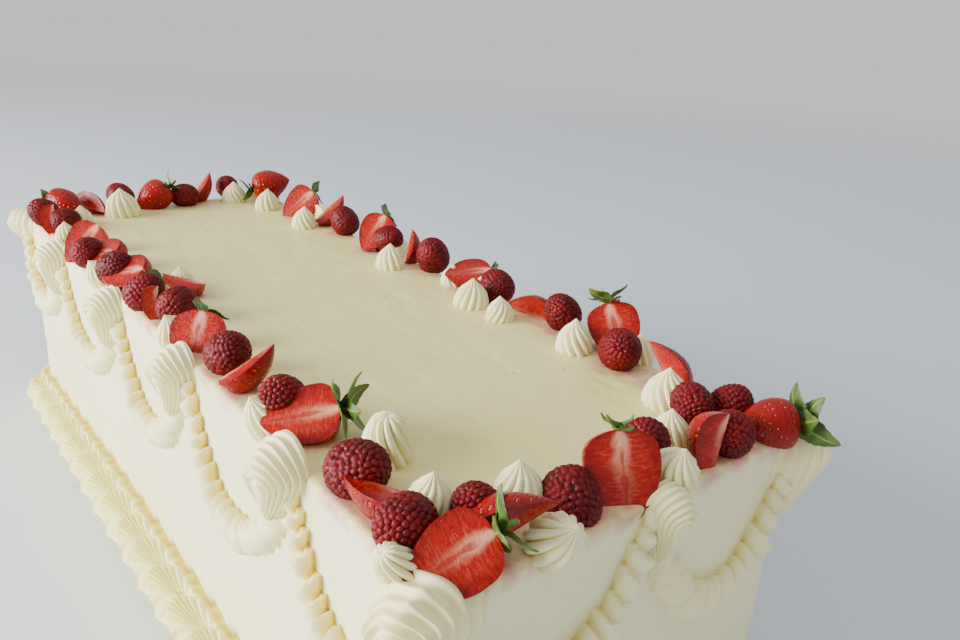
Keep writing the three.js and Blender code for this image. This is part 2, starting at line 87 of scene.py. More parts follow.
def crests(phase: Array) -> Array:
    """Narrow crests over broad valleys: 1 on a crest and 0 in a valley, one for each 1 of phase."""
    return (0.5 + 0.5 * np.cos(2 * np.pi * phase)) ** 1.3


def waves(x: Array, y: Array, seed: int, size: float) -> Array:
    """Soft, hand-made unevenness: a sum of six sine waves in seeded directions, from about -1 to 1.

    Args:
        x: First coordinate, in millimetres.
        y: Second coordinate, in millimetres.
        seed: Picks the directions and phases.
        size: Length of the longest wave, in millimetres.

    Returns:
        The height of the sum at each point.
    """
    draw = np.random.default_rng(seed)
    total = np.zeros(np.broadcast(x, y).shape)
    for octave in range(6):
        turn, phase = draw.uniform(0, 2 * np.pi, 2)
        wave = 2 * np.pi / (size / 1.45**octave)
        total += np.sin(wave * (x * np.cos(turn) + y * np.sin(turn)) + phase) / 1.3**octave
    return total / 2.6


def heading(azimuth: float, elevation: float) -> Array:
    """The direction azimuth degrees from +X in plan and elevation degrees above level."""
    a, e = math.radians(azimuth), math.radians(elevation)
    return np.array([math.cos(a) * math.cos(e), math.sin(a) * math.cos(e), math.sin(e)])


class Side(Enum):
    """A side of the cake: the corner that it starts from, the way along its top edge, and the way out."""

    LEFT = ((1, -1), (-1, 0), (0, -1))
    NEAR = ((1, -1), (0, 1), (1, 0))
    RIGHT = ((1, 1), (-1, 0), (0, 1))
    FAR = ((-1, 1), (0, -1), (-1, 0))


class Cut(Enum):
    """How a strawberry was cut."""

    HALF = "half"
    QUARTER = "quarter"
    SLICE = "slice"


class Tip(Enum):
    """How a piped star ends: drawn out to a point, or broken off blunt with a fringe.

    Each value is the star's radius from foot to tip, as shares of its width, and the heights where it
    has them, as shares of its height.
    """

    POINT = ((0.0, 0.42, 0.50, 0.50, 0.43, 0.31, 0.16, 0.05, 0.0),
             (0.0, 0.0, 0.10, 0.30, 0.54, 0.71, 0.84, 0.95, 1.0))
    BLUNT = ((0.0, 0.40, 0.50, 0.49, 0.43, 0.35, 0.27, 0.12, 0.0),
             (0.0, 0.0, 0.10, 0.30, 0.58, 0.82, 0.95, 1.0, 0.97))


@dataclass(frozen=True)
class Body:
    """The cake's main sizes, in millimetres."""

    length: float = 546.0
    width: float = 200.0
    height: float = 150.0
    corner: float = 10.0
    bow: float = 3.0
    sink: float = 2.5

    def drawn_in(self, x: Array) -> Array:
        """How far the long sides are drawn in at x: a parabola that is deepest at the middle."""
        return self.bow * np.maximum(0.0, 1.0 - (x / (self.length / 2 - self.corner)) ** 2)

    def on_side(self, side: Side, along: Array, proud: Array, z: Array) -> Array:
        """A point beside the cake.

        Args:
            side: The side that it belongs to.
            along: Distance along the side's top edge from its start.
            proud: Distance out from the side.
            z: Height.

        Returns:
            The points, as rows of x, y and z.
        """
        start, run, out = side.value
        x = start[0] * self.length / 2 + run[0] * along + out[0] * proud
        y = start[1] * self.width / 2 + run[1] * along + out[1] * (proud - self.drawn_in(x))
        return np.stack(np.broadcast_arrays(x, y, z), -1)


BODY = Body()


@dataclass
class Surface:
    """A closed surface: its points in millimetres, its faces, its layers of numbers and its slots."""

    points: Array
    quads: Array
    tris: Array
    layers: Layers
    slots: Array

    @staticmethod
    def closed(place: Place, turns: int, rings: int,
               slot: Callable[[Array], Array] | None = None) -> "Surface":
        """A ball-like surface from a grid of turns by rings, closed by a pole at each end.

        Args:
            place: Gives the points and layers at turn u and ring v, both from 0 to 1.
            turns: Points round each ring.
            rings: Steps from pole to pole.
            slot: Gives the material slot of the faces between each two turns.

        Returns:
            The surface with its faces turned outwards.
        """
        v, u = np.meshgrid(np.arange(1, rings) / rings, np.arange(turns) / turns, indexing="ij")
        points, layers = place(np.append(u.ravel(), [0.0, 0.0]), np.append(v.ravel(), [0.0, 1.0]))
        ids = np.arange((rings - 1) * turns).reshape(rings - 1, turns)
        after = np.roll(ids, -1, axis=1)
        quads = np.stack([ids[:-1], after[:-1], after[1:], ids[1:]], -1).reshape(-1, 4)
        poles = len(points) - 2 + np.zeros(turns, int)
        tris = np.concatenate([np.stack([after[0], ids[0], poles], -1),
                               np.stack([ids[-1], after[-1], poles + 1], -1)])
        round_slots = np.zeros(turns, int) if slot is None else slot(np.arange(turns))
        slots = np.concatenate([np.tile(round_slots, rings - 2), round_slots, round_slots])
        return Surface(points, quads, tris, layers, slots).outwards()

    @staticmethod
    def hoop(points: Array, layers: Layers) -> "Surface":
        """A ring-shaped surface, closed both ways.

        Args:
            points: The grid of its points: stations along the ring by points round each section.
            layers: The numbers at the same grid.

        Returns:
            The surface with its faces turned outwards.
        """
        stations, around = points.shape[:2]
        ids = np.arange(stations * around).reshape(stations, around)
        on, up = np.roll(ids, -1, axis=0), np.roll(ids, -1, axis=1)
        both = np.roll(on, -1, axis=1)
        quads = np.stack([ids, on, both, up], -1).reshape(-1, 4)
        flat = {name: values.reshape(-1) for name, values in layers.items()}
        empty = np.zeros((0, 3), int)
        return Surface(points.reshape(-1, 3), quads, empty, flat, np.zeros(len(quads), int)).outwards()

    def outwards(self) -> "Surface":
        """Turns the faces so that the volume, summed over the triangles from the origin, is positive.

        Returns:
            The same surface.
        """
        both = np.concatenate([self.quads[:, [0, 1, 2]], self.quads[:, [0, 2, 3]], self.tris])
        a, b, c = (self.points[both[:, k]] for k in range(3))
        if np.einsum("ij,ij->i", a, np.cross(b, c)).sum() < 0:
            self.quads, self.tris = self.quads[:, ::-1], self.tris[:, ::-1]
        return self

    def moved(self, turn: Array, offset: Array) -> "Surface":
        """The surface turned by a matrix and then moved."""
        return Surface(self.points @ turn.T + offset, self.quads, self.tris, self.layers, self.slots)

    def set_down(self, turn: Array, row: "ToppingAt") -> "Surface":
        """The surface turned, and set with its lowest point a little below the cake's top.

        Args:
            turn: The matrix that turns it.
            row: Where it lies, and how far it is lifted.

        Returns:
            The surface in its place.
        """
        lowest = (self.points @ turn.T)[:, 2].min()
        level = BODY.height - BODY.sink + row.lift - lowest
        return self.moved(turn, BODY.on_side(row.side, row.along, -row.inset, level))

    @staticmethod
    def joined(parts: list["Surface"]) -> "Surface":
        """Several surfaces as one, each still closed by itself.

        Args:
            parts: The surfaces, all with the same layers.

        Returns:
            The one surface, its slots in the order of its faces: quads first, then triangles.
        """
        starts = np.cumsum([0] + [len(part.points) for part in parts[:-1]])
        slots = ([part.slots[: len(part.quads)] for part in parts]
                 + [part.slots[len(part.quads):] for part in parts])
        return Surface(
            np.concatenate([part.points for part in parts]),
            np.concatenate([part.quads + start for part, start in zip(parts, starts)]),
            np.concatenate([part.tris + start for part, start in zip(parts, starts)]),
            {name: np.concatenate([part.layers[name] for part in parts]) for name in parts[0].layers},
            np.concatenate(slots),
        )

    def make(self, name: str, finishes: list["Finish"], node: str, sharp: float = 60.0) -> bpy.types.Object:
        """Makes the mesh, dresses it, and lets it stand for a node of the frame.

        Args:
            name: The piece's name.
            finishes: One finish for each material slot.
            node: The node that it replaces.
            sharp: Angle in degrees past which an edge is shaded sharp.

        Returns:
            The new object.
        """
        mesh = bpy.data.meshes.new(name)
        corners = np.concatenate([self.quads.ravel(), self.tris.ravel()]).astype(np.int32)
        sizes = np.concatenate([np.full(len(self.quads), 4), np.full(len(self.tris), 3)])
        starts = np.concatenate([[0], np.cumsum(sizes)[:-1]]).astype(np.int32)
        mesh.vertices.add(len(self.points))
        mesh.vertices.foreach_set("co", (self.points * MM).astype(np.float32).ravel())
        mesh.loops.add(len(corners))
        mesh.loops.foreach_set("vertex_index", corners)
        mesh.polygons.add(len(sizes))
        mesh.polygons.foreach_set("loop_start", starts)
        mesh.polygons.foreach_set("material_index", self.slots.astype(np.int32))
        mesh.update(calc_edges=True)
        mesh.validate()
        for layer, values in self.layers.items():
            kind = "FLOAT" if values.ndim == 1 else "FLOAT_VECTOR"
            data = mesh.attributes.new(layer, kind, "POINT").data
            data.foreach_set("value" if values.ndim == 1 else "vector", values.astype(np.float32).ravel())
        mesh.shade_smooth()
        mesh.set_sharp_from_angle(angle=math.radians(sharp))
        piece = bpy.data.objects.new(name, mesh)
        bpy.context.scene.collection.objects.link(piece)
        for finish in finishes:
            mesh.materials.append(finish.material())
        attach(piece, "root")
        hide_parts(node)
        LOG.info("%s: %d triangles", name, 2 * len(self.quads) + len(self.tris))
        return piece


class Nodes:
    """A short way to lay out one material's nodes."""

    def __init__(self, name: str) -> None:
        """Starts an empty material with a Principled shader.

        Args:
            name: The material's name.
        """
        self.material = bpy.data.materials.new(name)
        self.material.use_nodes = True
        self.tree = self.material.node_tree
        self.shader = self.tree.nodes["Principled BSDF"]

    def add(self, kind: str, settings: dict | None = None, **inputs: object) -> bpy.types.Node:
        """Adds a node.

        Args:
            kind: The node's type.
            settings: Properties to set on it.
            **inputs: Its inputs by name with underscores for spaces: a socket is linked, a value is set.

        Returns:
            The node.
        """
        node = self.tree.nodes.new(kind)
        for key, value in (settings or {}).items():
            setattr(node, key, value)
        for key, value in inputs.items():
            self.put(node.inputs[key.replace("_", " ")], value)
        return node

    def put(self, socket: bpy.types.NodeSocket, value: object) -> None:
        """Links a socket to another one, or sets its value.

        Args:
            socket: The input to fill.
            value: A socket to link, or a value to set.
        """
        if isinstance(value, bpy.types.NodeSocket):
            self.tree.links.new(value, socket)
        else:
            socket.default_value = value

    def layer(self, name: str) -> bpy.types.NodeSocket:
        """The number that the mesh stores under a layer's name."""
        return self.add("ShaderNodeAttribute", {"attribute_name": name}).outputs["Fac"]

    def spot(self, name: str) -> bpy.types.NodeSocket:
        """The vector that the mesh stores under a layer's name."""
        return self.add("ShaderNodeAttribute", {"attribute_name": name}).outputs["Vector"]

    def here(self) -> bpy.types.NodeSocket:
        """The place on the object, in metres."""
        return self.add("ShaderNodeTexCoord").outputs["Object"]

    def stretched(self, where: bpy.types.NodeSocket, scale: tuple) -> bpy.types.NodeSocket:
        """A place scaled differently along x, y and z."""
        return self.add("ShaderNodeMapping", Vector=where, Scale=scale).outputs[0]

    def axis(self, where: bpy.types.NodeSocket, name: str) -> bpy.types.NodeSocket:
        """One of a vector's three numbers: X, Y or Z."""
        return self.add("ShaderNodeSeparateXYZ", Vector=where).outputs[name]

    def noise(self, where: bpy.types.NodeSocket, scale: float, detail: float = 3.0) -> bpy.types.NodeSocket:
        """Soft noise at a scale, from 0 to 1."""
        return self.add("ShaderNodeTexNoise", Vector=where, Scale=scale, Detail=detail).outputs["Fac"]

    def cells(self, where: bpy.types.NodeSocket, scale: float, loose: float = 1.0) -> bpy.types.NodeSocket:
        """Distance to the nearest of scattered points."""
        node = self.add("ShaderNodeTexVoronoi", Vector=where, Scale=scale, Randomness=loose)
        return node.outputs["Distance"]

    def ramp(self, value: bpy.types.NodeSocket, low: float, high: float,
             to: tuple = (0.0, 1.0)) -> bpy.types.NodeSocket:
        """A smooth step of a value.

        Args:
            value: The number to look at.
            low: Where the step begins.
            high: Where the step ends.
            to: The numbers before and after the step.

        Returns:
            The stepped number.
        """
        node = self.add("ShaderNodeMapRange", {"interpolation_type": "SMOOTHSTEP"}, Value=value)
        for key, number in zip(("From Min", "From Max", "To Min", "To Max"), (low, high, *to)):
            node.inputs[key].default_value = number
        return node.outputs["Result"]

    def work(self, how: str, a: object, b: object) -> bpy.types.NodeSocket:
        """Two numbers worked into one.

        Args:
            how: The math node's operation.
            a: The first number or socket.
            b: The second number or socket.

        Returns:
            The result.
        """
        node = self.add("ShaderNodeMath", {"operation": how})
        self.put(node.inputs[0], a)
        self.put(node.inputs[1], b)
        return node.outputs[0]

    def plus(self, a: object, b: object) -> bpy.types.NodeSocket:
        """The sum of two numbers."""
        return self.work("ADD", a, b)

    def times(self, a: object, b: object) -> bpy.types.NodeSocket:
        """The product of two numbers."""
        return self.work("MULTIPLY", a, b)

    def mix(self, share: object, a: object, b: object) -> bpy.types.NodeSocket:
        """Two colours mixed.

        Args:
            share: The second colour's share.
            a: The first colour or socket.
            b: The second colour or socket.

        Returns:
            The mixed colour.
        """
        node = self.add("ShaderNodeMix", {"data_type": "RGBA", "blend_type": "MIX"})
        for socket, value in ((node.inputs[0], share), (node.inputs[6], a), (node.inputs[7], b)):
            self.put(socket, (*value, 1.0) if isinstance(value, tuple) else value)
        return node.outputs[2]

    def bump(self, height: bpy.types.NodeSocket, depth: float) -> bpy.types.NodeSocket:
        """A bumped normal from a height, its depth in metres."""
        return self.add("ShaderNodeBump", Height=height, Strength=1.0, Distance=depth).outputs["Normal"]

    def shade(self, **inputs: object) -> bpy.types.Material:
        """Sets or links the shader's sockets.

        Args:
            **inputs: Its inputs by name with underscores for spaces.

        Returns:
            The finished material.
        """
        for key, value in inputs.items():
            if isinstance(value, tuple) and "Radius" not in key:
                value = (*value, 1.0)
            self.put(self.shader.inputs[key.replace("_", " ")], value)
        return self.material


@dataclass(frozen=True)
class Depth:
    """How light sinks into a finish and glances off it.

    The share is how much of it goes in, the reach is how far red, green and blue spread as shares of
    the depth in metres, and the glance is how strongly the surface mirrors.
    """

    share: float
    reach: tuple
    depth: float
    glance: float = 0.5

    def inputs(self) -> dict[str, object]:
        """The shader's inputs by name."""
        return {"Subsurface_Weight": self.share, "Subsurface_Radius": self.reach,
                "Subsurface_Scale": self.depth, "Specular_IOR_Level": self.glance}


class Finish:
    """A finish: its name, the slot that it belongs to, and its material, made once."""

    name: str
    slot: str
    _made: dict[str, bpy.types.Material] = {}

    def material(self) -> bpy.types.Material:
        """The finish's material, built when it is first asked for.

        Returns:
            The material, the same one for every finish of that name.
        """
        if self.name not in Finish._made:
            Finish._made[self.name] = self.build()
        return Finish._made[self.name]

    def build(self) -> bpy.types.Material:
        """Lays out the nodes."""
        raise NotImplementedError


@dataclass(frozen=True)
class Cream(Finish):
    """Piped buttercream: ivory, with amber painted shade in its valleys, pockets and creases, and a soft
    sheen.
    """

    name: str = "piped_cream"
    slot: str = "cream"
    pale: tuple = (0.88, 0.83, 0.48)
    warm: tuple = (0.885, 0.815, 0.40)
    # painted shade: the amber tint laid in the valleys, pockets and creases of the piping
    deep: tuple = (0.80, 0.58, 0.04)
    shine: float = 0.40
    dull: float = 0.14
    blotches: float = 38.0
    grain: float = 900.0
    dimples: float = 260.0
    relief: float = 0.00007
    depth: Depth = Depth(0.2, (1.0, 0.75, 0.4), 0.0016, 0.45)

    def build(self) -> bpy.types.Material:
        """Pale and warm cream in blotches, with the amber tint painted as shade where the mesh's layer
        marks valleys and creases.
        """
        n = Nodes(self.name)
        where = n.here()
        blotch = n.noise(where, self.blotches)
        colour = n.mix(n.ramp(blotch, 0.3, 0.75, (0.0, 0.35)), self.pale, self.warm)
        # painted shade: the amber tint mixed in as far as the mesh's shade layer reaches
        colour = n.mix(n.ramp(n.layer("hollow"), 0.1, 1.0, (0.0, 0.9)), colour, self.deep)
        height = n.plus(n.noise(where, self.grain, 2.0), n.noise(where, self.dimples))
        rough = n.ramp(blotch, 0.2, 0.8, (self.shine, self.shine + self.dull))
        return n.shade(Base_Color=colour, Roughness=rough, Normal=n.bump(height, self.relief),
                       **self.depth.inputs())


@dataclass(frozen=True)
class Coat(Finish):
    """The smoothed coat: a pale side, and a beige top with small pits, trowel marks and juice stains."""

    name: str = "smooth_coat"
    slot: str = "cream"
    side: tuple = (0.87, 0.835, 0.50)
    side_pale: tuple = (0.88, 0.85, 0.57)
    top: tuple = (0.77, 0.69, 0.27)
    top_pale: tuple = (0.81, 0.745, 0.34)
    # painted shade: the darker tint inside the top's small pits
    pit_painted_shade: tuple = (0.55, 0.47, 0.30)
    juice_tint: tuple = (0.62, 0.25, 0.22)
    blotches: float = 14.0
    trowel: tuple = (18.0, 90.0, 18.0)
    pits: float = 110.0
    pitted: float = 30.0
    splashes: float = 120.0
    dents: float = 42.0
    swells: float = 60.0
    relief: float = 0.0008
    shine: tuple = (0.36, 0.5)
    depth: Depth = Depth(0.2, (1.0, 0.75, 0.4), 0.002, 0.4)

    def build(self) -> bpy.types.Material:
        """Blotched side and top tints, the pits' painted shade and the stains over them, and marks and
        dents as relief.
        """
        n = Nodes(self.name)
        where = n.here()
        top = n.layer("top")
        blotch = n.noise(where, self.blotches, 4.0)
        pits = n.ramp(n.cells(where, self.pits), 0.04, 0.13, (1.0, 0.0))
        pits = n.times(n.times(pits, n.ramp(n.noise(where, self.pitted), 0.5, 0.62)), top)
        side_tint = n.mix(n.ramp(blotch, 0.3, 0.7, (0.0, 0.4)), self.side, self.side_pale)
        top_tint = n.mix(n.ramp(blotch, 0.3, 0.7, (0.0, 0.5)), self.top, self.top_pale)
        # painted shade: the pits darkened by their tint
        colour = n.mix(n.times(pits, 0.35), n.mix(top, side_tint, top_tint), self.pit_painted_shade)
        wet = n.times(n.layer("juice"), n.ramp(n.noise(where, self.splashes), 0.25, 0.65))
        colour = n.mix(wet, colour, self.juice_tint)
        streak = n.noise(n.stretched(where, self.trowel), 1.0)
        height = n.plus(n.times(streak, 0.5), n.times(n.noise(where, self.swells), 0.8))
        dents = n.ramp(n.noise(where, self.dents, 4.0), 0.55, 0.8)
        height = n.work("SUBTRACT", n.work("SUBTRACT", height, n.times(dents, 0.6)), pits)
        return n.shade(Base_Color=colour, Roughness=n.ramp(blotch, 0.2, 0.8, self.shine),
                       Normal=n.bump(height, self.relief), **self.depth.inputs())


@dataclass(frozen=True)
class RaspberryFlesh(Finish):
    """Raspberry: dark crimson, with painted shade between its drupelets, pinkish dust that is partly a
    painted sheen on their tops, and a moist shine.
    """

    name: str = "raspberry_flesh"
    slot: str = "raspberry"
    dark: tuple = (0.095, 0.0003, 0.0014)
    light: tuple = (0.165, 0.0009, 0.0035)
    # painted shade: the dark tint between the drupelets
    gap_painted_shade: tuple = (0.022, 0.0001, 0.0006)
    # partly real dust, partly a painted sheen on the drupelets' tops
    dust_and_sheen: tuple = (0.32, 0.06, 0.07)
    blotches: float = 90.0
    dusting: float = 500.0
    moisture: float = 300.0
    hairs: float = 1400.0
    relief: float = 0.00012
    shine: tuple = (0.38, 0.6)
    depth: Depth = Depth(0.12, (1.0, 0.08, 0.06), 0.0015, 0.22)

    def build(self) -> bpy.types.Material:
        """Crimson in blotches, painted shade in the gaps between drupelets, and dust and painted sheen on
        their tops.
        """
        n = Nodes(self.name)
        where = n.here()
        valley = n.layer("hollow")
        colour = n.mix(n.ramp(n.noise(where, self.blotches, 2.0), 0.35, 0.7), self.dark, self.light)
        # painted shade: the gaps between drupelets darkened by the mesh's shade layer
        colour = n.mix(n.ramp(valley, 0.3, 1.0, (0.0, 0.65)), colour, self.gap_painted_shade)
        tops = n.ramp(valley, 0.0, 0.5, (1.0, 0.0))
        # partly real dust, partly a painted sheen: pinkish tint on each drupelet's top
        dust_and_sheen_share = n.times(n.ramp(n.noise(where, self.dusting), 0.45, 0.75, (0.0, 0.10)), tops)
        colour = n.mix(dust_and_sheen_share, colour, self.dust_and_sheen)
        rough = n.ramp(n.noise(where, self.moisture), 0.3, 0.7, self.shine)
        return n.shade(Base_Color=colour, Roughness=rough,
                       Normal=n.bump(n.noise(where, self.hairs), self.relief), **self.depth.inputs())


@dataclass(frozen=True)
class StrawberrySkin(Finish):
    """Strawberry skin: glossy red with a straw-coloured seed in each small pit."""

    name: str = "strawberry_skin"
    slot: str = "strawberry"
    dark: tuple = (0.20, 0.0008, 0.0004)
    light: tuple = (0.30, 0.002, 0.0008)
    neck: tuple = (0.42, 0.05, 0.015)
    seed_tint: tuple = (0.52, 0.22, 0.03)
    blotches: float = 60.0
    moisture: float = 220.0
    seed_loose: float = 0.35
    relief: float = 0.0005
    shine: tuple = (0.2, 0.34)
    depth: Depth = Depth(0.1, (1.0, 0.1, 0.05), 0.0015, 0.25)

    def build(self) -> bpy.types.Material:
        """Red in blotches, paler at the neck, with a seed in the middle of each cell of its grid."""
        n = Nodes(self.name)
        pit = n.cells(n.spot("skin"), 1.0, self.seed_loose)
        seed = n.ramp(pit, 0.1, 0.17, (1.0, 0.0))
        neck = n.ramp(n.axis(n.spot("fruit"), "X"), -0.30, -0.46, (0.0, 0.55))
        colour = n.mix(n.ramp(n.noise(n.here(), self.blotches), 0.35, 0.7), self.dark, self.light)
        colour = n.mix(seed, n.mix(neck, colour, self.neck), self.seed_tint)
        height = n.plus(n.ramp(pit, 0.1, 0.42), n.times(seed, 0.5))
        rough = n.ramp(n.noise(n.here(), self.moisture), 0.3, 0.7, self.shine)
        return n.shade(Base_Color=colour, Roughness=rough, Normal=n.bump(height, self.relief),
                       **self.depth.inputs())


@dataclass(frozen=True)
class StrawberryCut(Finish):
    """A strawberry's cut face: a pale core with a slit, veins out to a red rim, and moist flecks raised as
    bumps and painted pale as glints.
    """

    name: str = "strawberry_cut"
    slot: str = "strawberry"
    inner: tuple = (0.31, 0.003, 0.0014)
    rim: tuple = (0.17, 0.0006, 0.0003)
    mottle_tint: tuple = (0.40, 0.010, 0.004)
    vein_tint: tuple = (0.56, 0.07, 0.03)
    core_tint: tuple = (0.80, 0.36, 0.22)
    slit_tint: tuple = (0.30, 0.004, 0.002)
    # painted highlight: the pale tint of the flecks
    painted_glint_tint: tuple = (0.90, 0.40, 0.28)
    spokes: tuple = (15.0, 2.5, 2.5)
    veins: float = 2.4
    wobbles: float = 160.0
    mottles: float = 420.0
    flecks: float = 800.0
    fleck_patches: float = 300.0
    grain: float = 700.0
    moisture: float = 400.0
    relief: float = 0.0003
    shine: tuple = (0.18, 0.42)
    depth: Depth = Depth(0.15, (1.0, 0.15, 0.08), 0.0015, 0.25)

    def build(self) -> bpy.types.Material:
        """Tints by the wobbling distance out from the axis, the core palest towards the cap."""
        n = Nodes(self.name)
        where, here = n.spot("fruit"), n.here()
        towards_tip = n.axis(where, "X")
        wobble = n.times(n.work("SUBTRACT", n.noise(here, self.wobbles), 0.5), 0.35)
        out = n.plus(n.layer("away"), wobble)
        core = n.ramp(out, 0.03, 0.34, (1.0, 0.0))
        white = n.times(core, n.plus(0.12, n.times(n.ramp(towards_tip, 0.12, -0.42), 0.8)))
        vein = n.ramp(n.noise(n.stretched(where, self.spokes), self.veins, 2.0), 0.48, 0.62)
        vein = n.times(vein, n.ramp(out, 0.95, 0.3, (0.1, 0.8)))
        mottle = n.ramp(n.noise(here, self.mottles, 2.0), 0.35, 0.7, (0.0, 0.4))
        slit = n.times(n.ramp(out, 0.03, 0.10, (1.0, 0.0)), n.ramp(towards_tip, -0.34, -0.2))
        # painted highlight: pale flecks mixed in below as glints on the moist flesh, also raised as bumps
        fleck = n.ramp(n.cells(here, self.flecks), 0.12, 0.25, (1.0, 0.0))
        fleck = n.times(fleck, n.ramp(n.noise(here, self.fleck_patches), 0.45, 0.6))
        colour = n.mix(n.ramp(out, 0.45, 1.0), self.inner, self.rim)
        for share, tint in ((mottle, self.mottle_tint), (n.times(vein, 0.5), self.vein_tint),
                            (white, self.core_tint), (n.times(slit, 0.7), self.slit_tint),
                            (n.times(fleck, 0.12), self.painted_glint_tint)):
            colour = n.mix(share, colour, tint)
        height = n.plus(n.noise(here, self.grain), n.times(fleck, 0.8))
        rough = n.ramp(n.noise(here, self.moisture), 0.3, 0.7, self.shine)
        return n.shade(Base_Color=colour, Roughness=rough, Normal=n.bump(height, self.relief),
                       **self.depth.inputs())


@dataclass(frozen=True)
class Leaf(Finish):
    """A calyx leaf: deep green, paler along its middle vein and browner at its tip."""

    name: str = "calyx_leaf"
    slot: str = "strawberry"
    dark: tuple = (0.024, 0.070, 0.008)
    light: tuple = (0.085, 0.165, 0.018)
    rib_tint: tuple = (0.24, 0.34, 0.06)
    tip_tint: tuple = (0.20, 0.13, 0.04)
    blotches: float = 140.0
    side_veins: tuple = (9.0, 3.0, 1.0)
    relief: float = 0.0003
    rough: float = 0.42
    depth: Depth = Depth(0.2, (0.5, 1.0, 0.2), 0.001)

    def build(self) -> bpy.types.Material:
        """Green in blotches, with the rib at the blade's middle and veins across it as relief."""
        n = Nodes(self.name)
        blade = n.spot("skin")
        rib = n.ramp(n.work("ABSOLUTE", n.axis(blade, "Y"), 0.0), 0.04, 0.16, (0.75, 0.0))
        colour = n.mix(n.ramp(n.noise(n.here(), self.blotches), 0.3, 0.7), self.dark, self.light)
        colour = n.mix(rib, colour, self.rib_tint)
        colour = n.mix(n.ramp(n.axis(blade, "X"), 0.75, 1.0, (0.0, 0.4)), colour, self.tip_tint)
        height = n.noise(n.stretched(blade, self.side_veins), 2.0)
        return n.shade(Base_Color=colour, Roughness=self.rough, Normal=n.bump(height, self.relief),
                       **self.depth.inputs())


@dataclass(frozen=True)
class Floor(Finish):
    """The plain pale floor, paler far away."""

    name: str = "pale_floor"
    slot: str = ""
    cool: tuple = (0.60, 0.645, 0.71)
    light: tuple = (0.63, 0.67, 0.73)
    far: tuple = (0.97, 0.975, 0.98)
    blotches: float = 2.0
    fade: tuple = (0.8, 6.0)
    rough: float = 0.7

    def build(self) -> bpy.types.Material:
        """Two close tints in wide blotches, fading to the far tint with the distance from the middle."""
        n = Nodes(self.name)
        away = n.add("ShaderNodeVectorMath", {"operation": "LENGTH"}, Vector=n.here()).outputs["Value"]
        tint = n.mix(n.noise(n.here(), self.blotches), self.cool, self.light)
        return n.shade(Base_Color=n.mix(n.ramp(away, *self.fade), tint, self.far), Roughness=self.rough)


@dataclass(frozen=True)
class ToppingAt:
    """Where a topping sits: its side, its distances along it and in from its edge, its size and lift."""

    side: Side
    along: float
    inset: float
    size: float = field(default=1.0, kw_only=True)
    lift: float = field(default=0.0, kw_only=True)


@dataclass(frozen=True)
class StarAt(ToppingAt):
    """Where a piped star sits, how far it leans out in degrees, and how it ends."""

    lean: float = 0.0
    tip: Tip = Tip.POINT


@dataclass(frozen=True)
class RaspberryAt(ToppingAt):
    """Where a raspberry lies, the way its tip points in plan, and how far the tip rises, in degrees."""

    tip: float
    rise: float


@dataclass(frozen=True)
class StrawberryAt(ToppingAt):
    """Where a cut strawberry lies and how it was cut.

    Its cut face looks along the azimuth and elevation named faces and raised, its tip is turned on that
    face, all in degrees, and it has a number of leaves of a size, a stub of stem and a width.
    """

    cut: Cut
    faces: float
    raised: float
    turned: float
    leaves: int = 0
    leafy: float = 1.0
    stem: float = 0.0
    wide: float = 1.0


STARS: list[StarAt] = [
    StarAt(Side.LEFT, 19, 0, size=0.75, lean=35, tip=Tip.BLUNT),
    StarAt(Side.LEFT, 80, 32, size=1.1, tip=Tip.BLUNT),
    StarAt(Side.LEFT, 129, 7, lean=30),
    StarAt(Side.LEFT, 236, 6, size=0.95, lean=25),
    StarAt(Side.LEFT, 316, 36, size=0.8),
    StarAt(Side.LEFT, 353, 3, size=0.9, lean=30),
    StarAt(Side.LEFT, 458, 7, size=0.75),
    StarAt(Side.LEFT, 498, 28, size=0.85),
    StarAt(Side.NEAR, 25, 40),
    StarAt(Side.NEAR, 56, 28),
    StarAt(Side.NEAR, 48, 3, size=1.05, lean=42),
    StarAt(Side.NEAR, 115, 7, size=1.05, lean=18),
    StarAt(Side.NEAR, 141, 27, size=0.85),
    StarAt(Side.RIGHT, 50, 32, size=1.1),
    StarAt(Side.RIGHT, 92, 0, size=0.85),
    StarAt(Side.RIGHT, 120, 20, size=1.05),
    StarAt(Side.RIGHT, 176, 24, size=0.85),
    StarAt(Side.RIGHT, 203, 24, size=1.05),
    StarAt(Side.RIGHT, 243, 7, size=0.8),
    StarAt(Side.RIGHT, 294, 23),
    StarAt(Side.RIGHT, 420, 24),
    StarAt(Side.RIGHT, 490, 24, size=1.05),
    StarAt(Side.FAR, 38, 17, size=1.05),
    StarAt(Side.FAR, 137, 32, size=1.3),
]

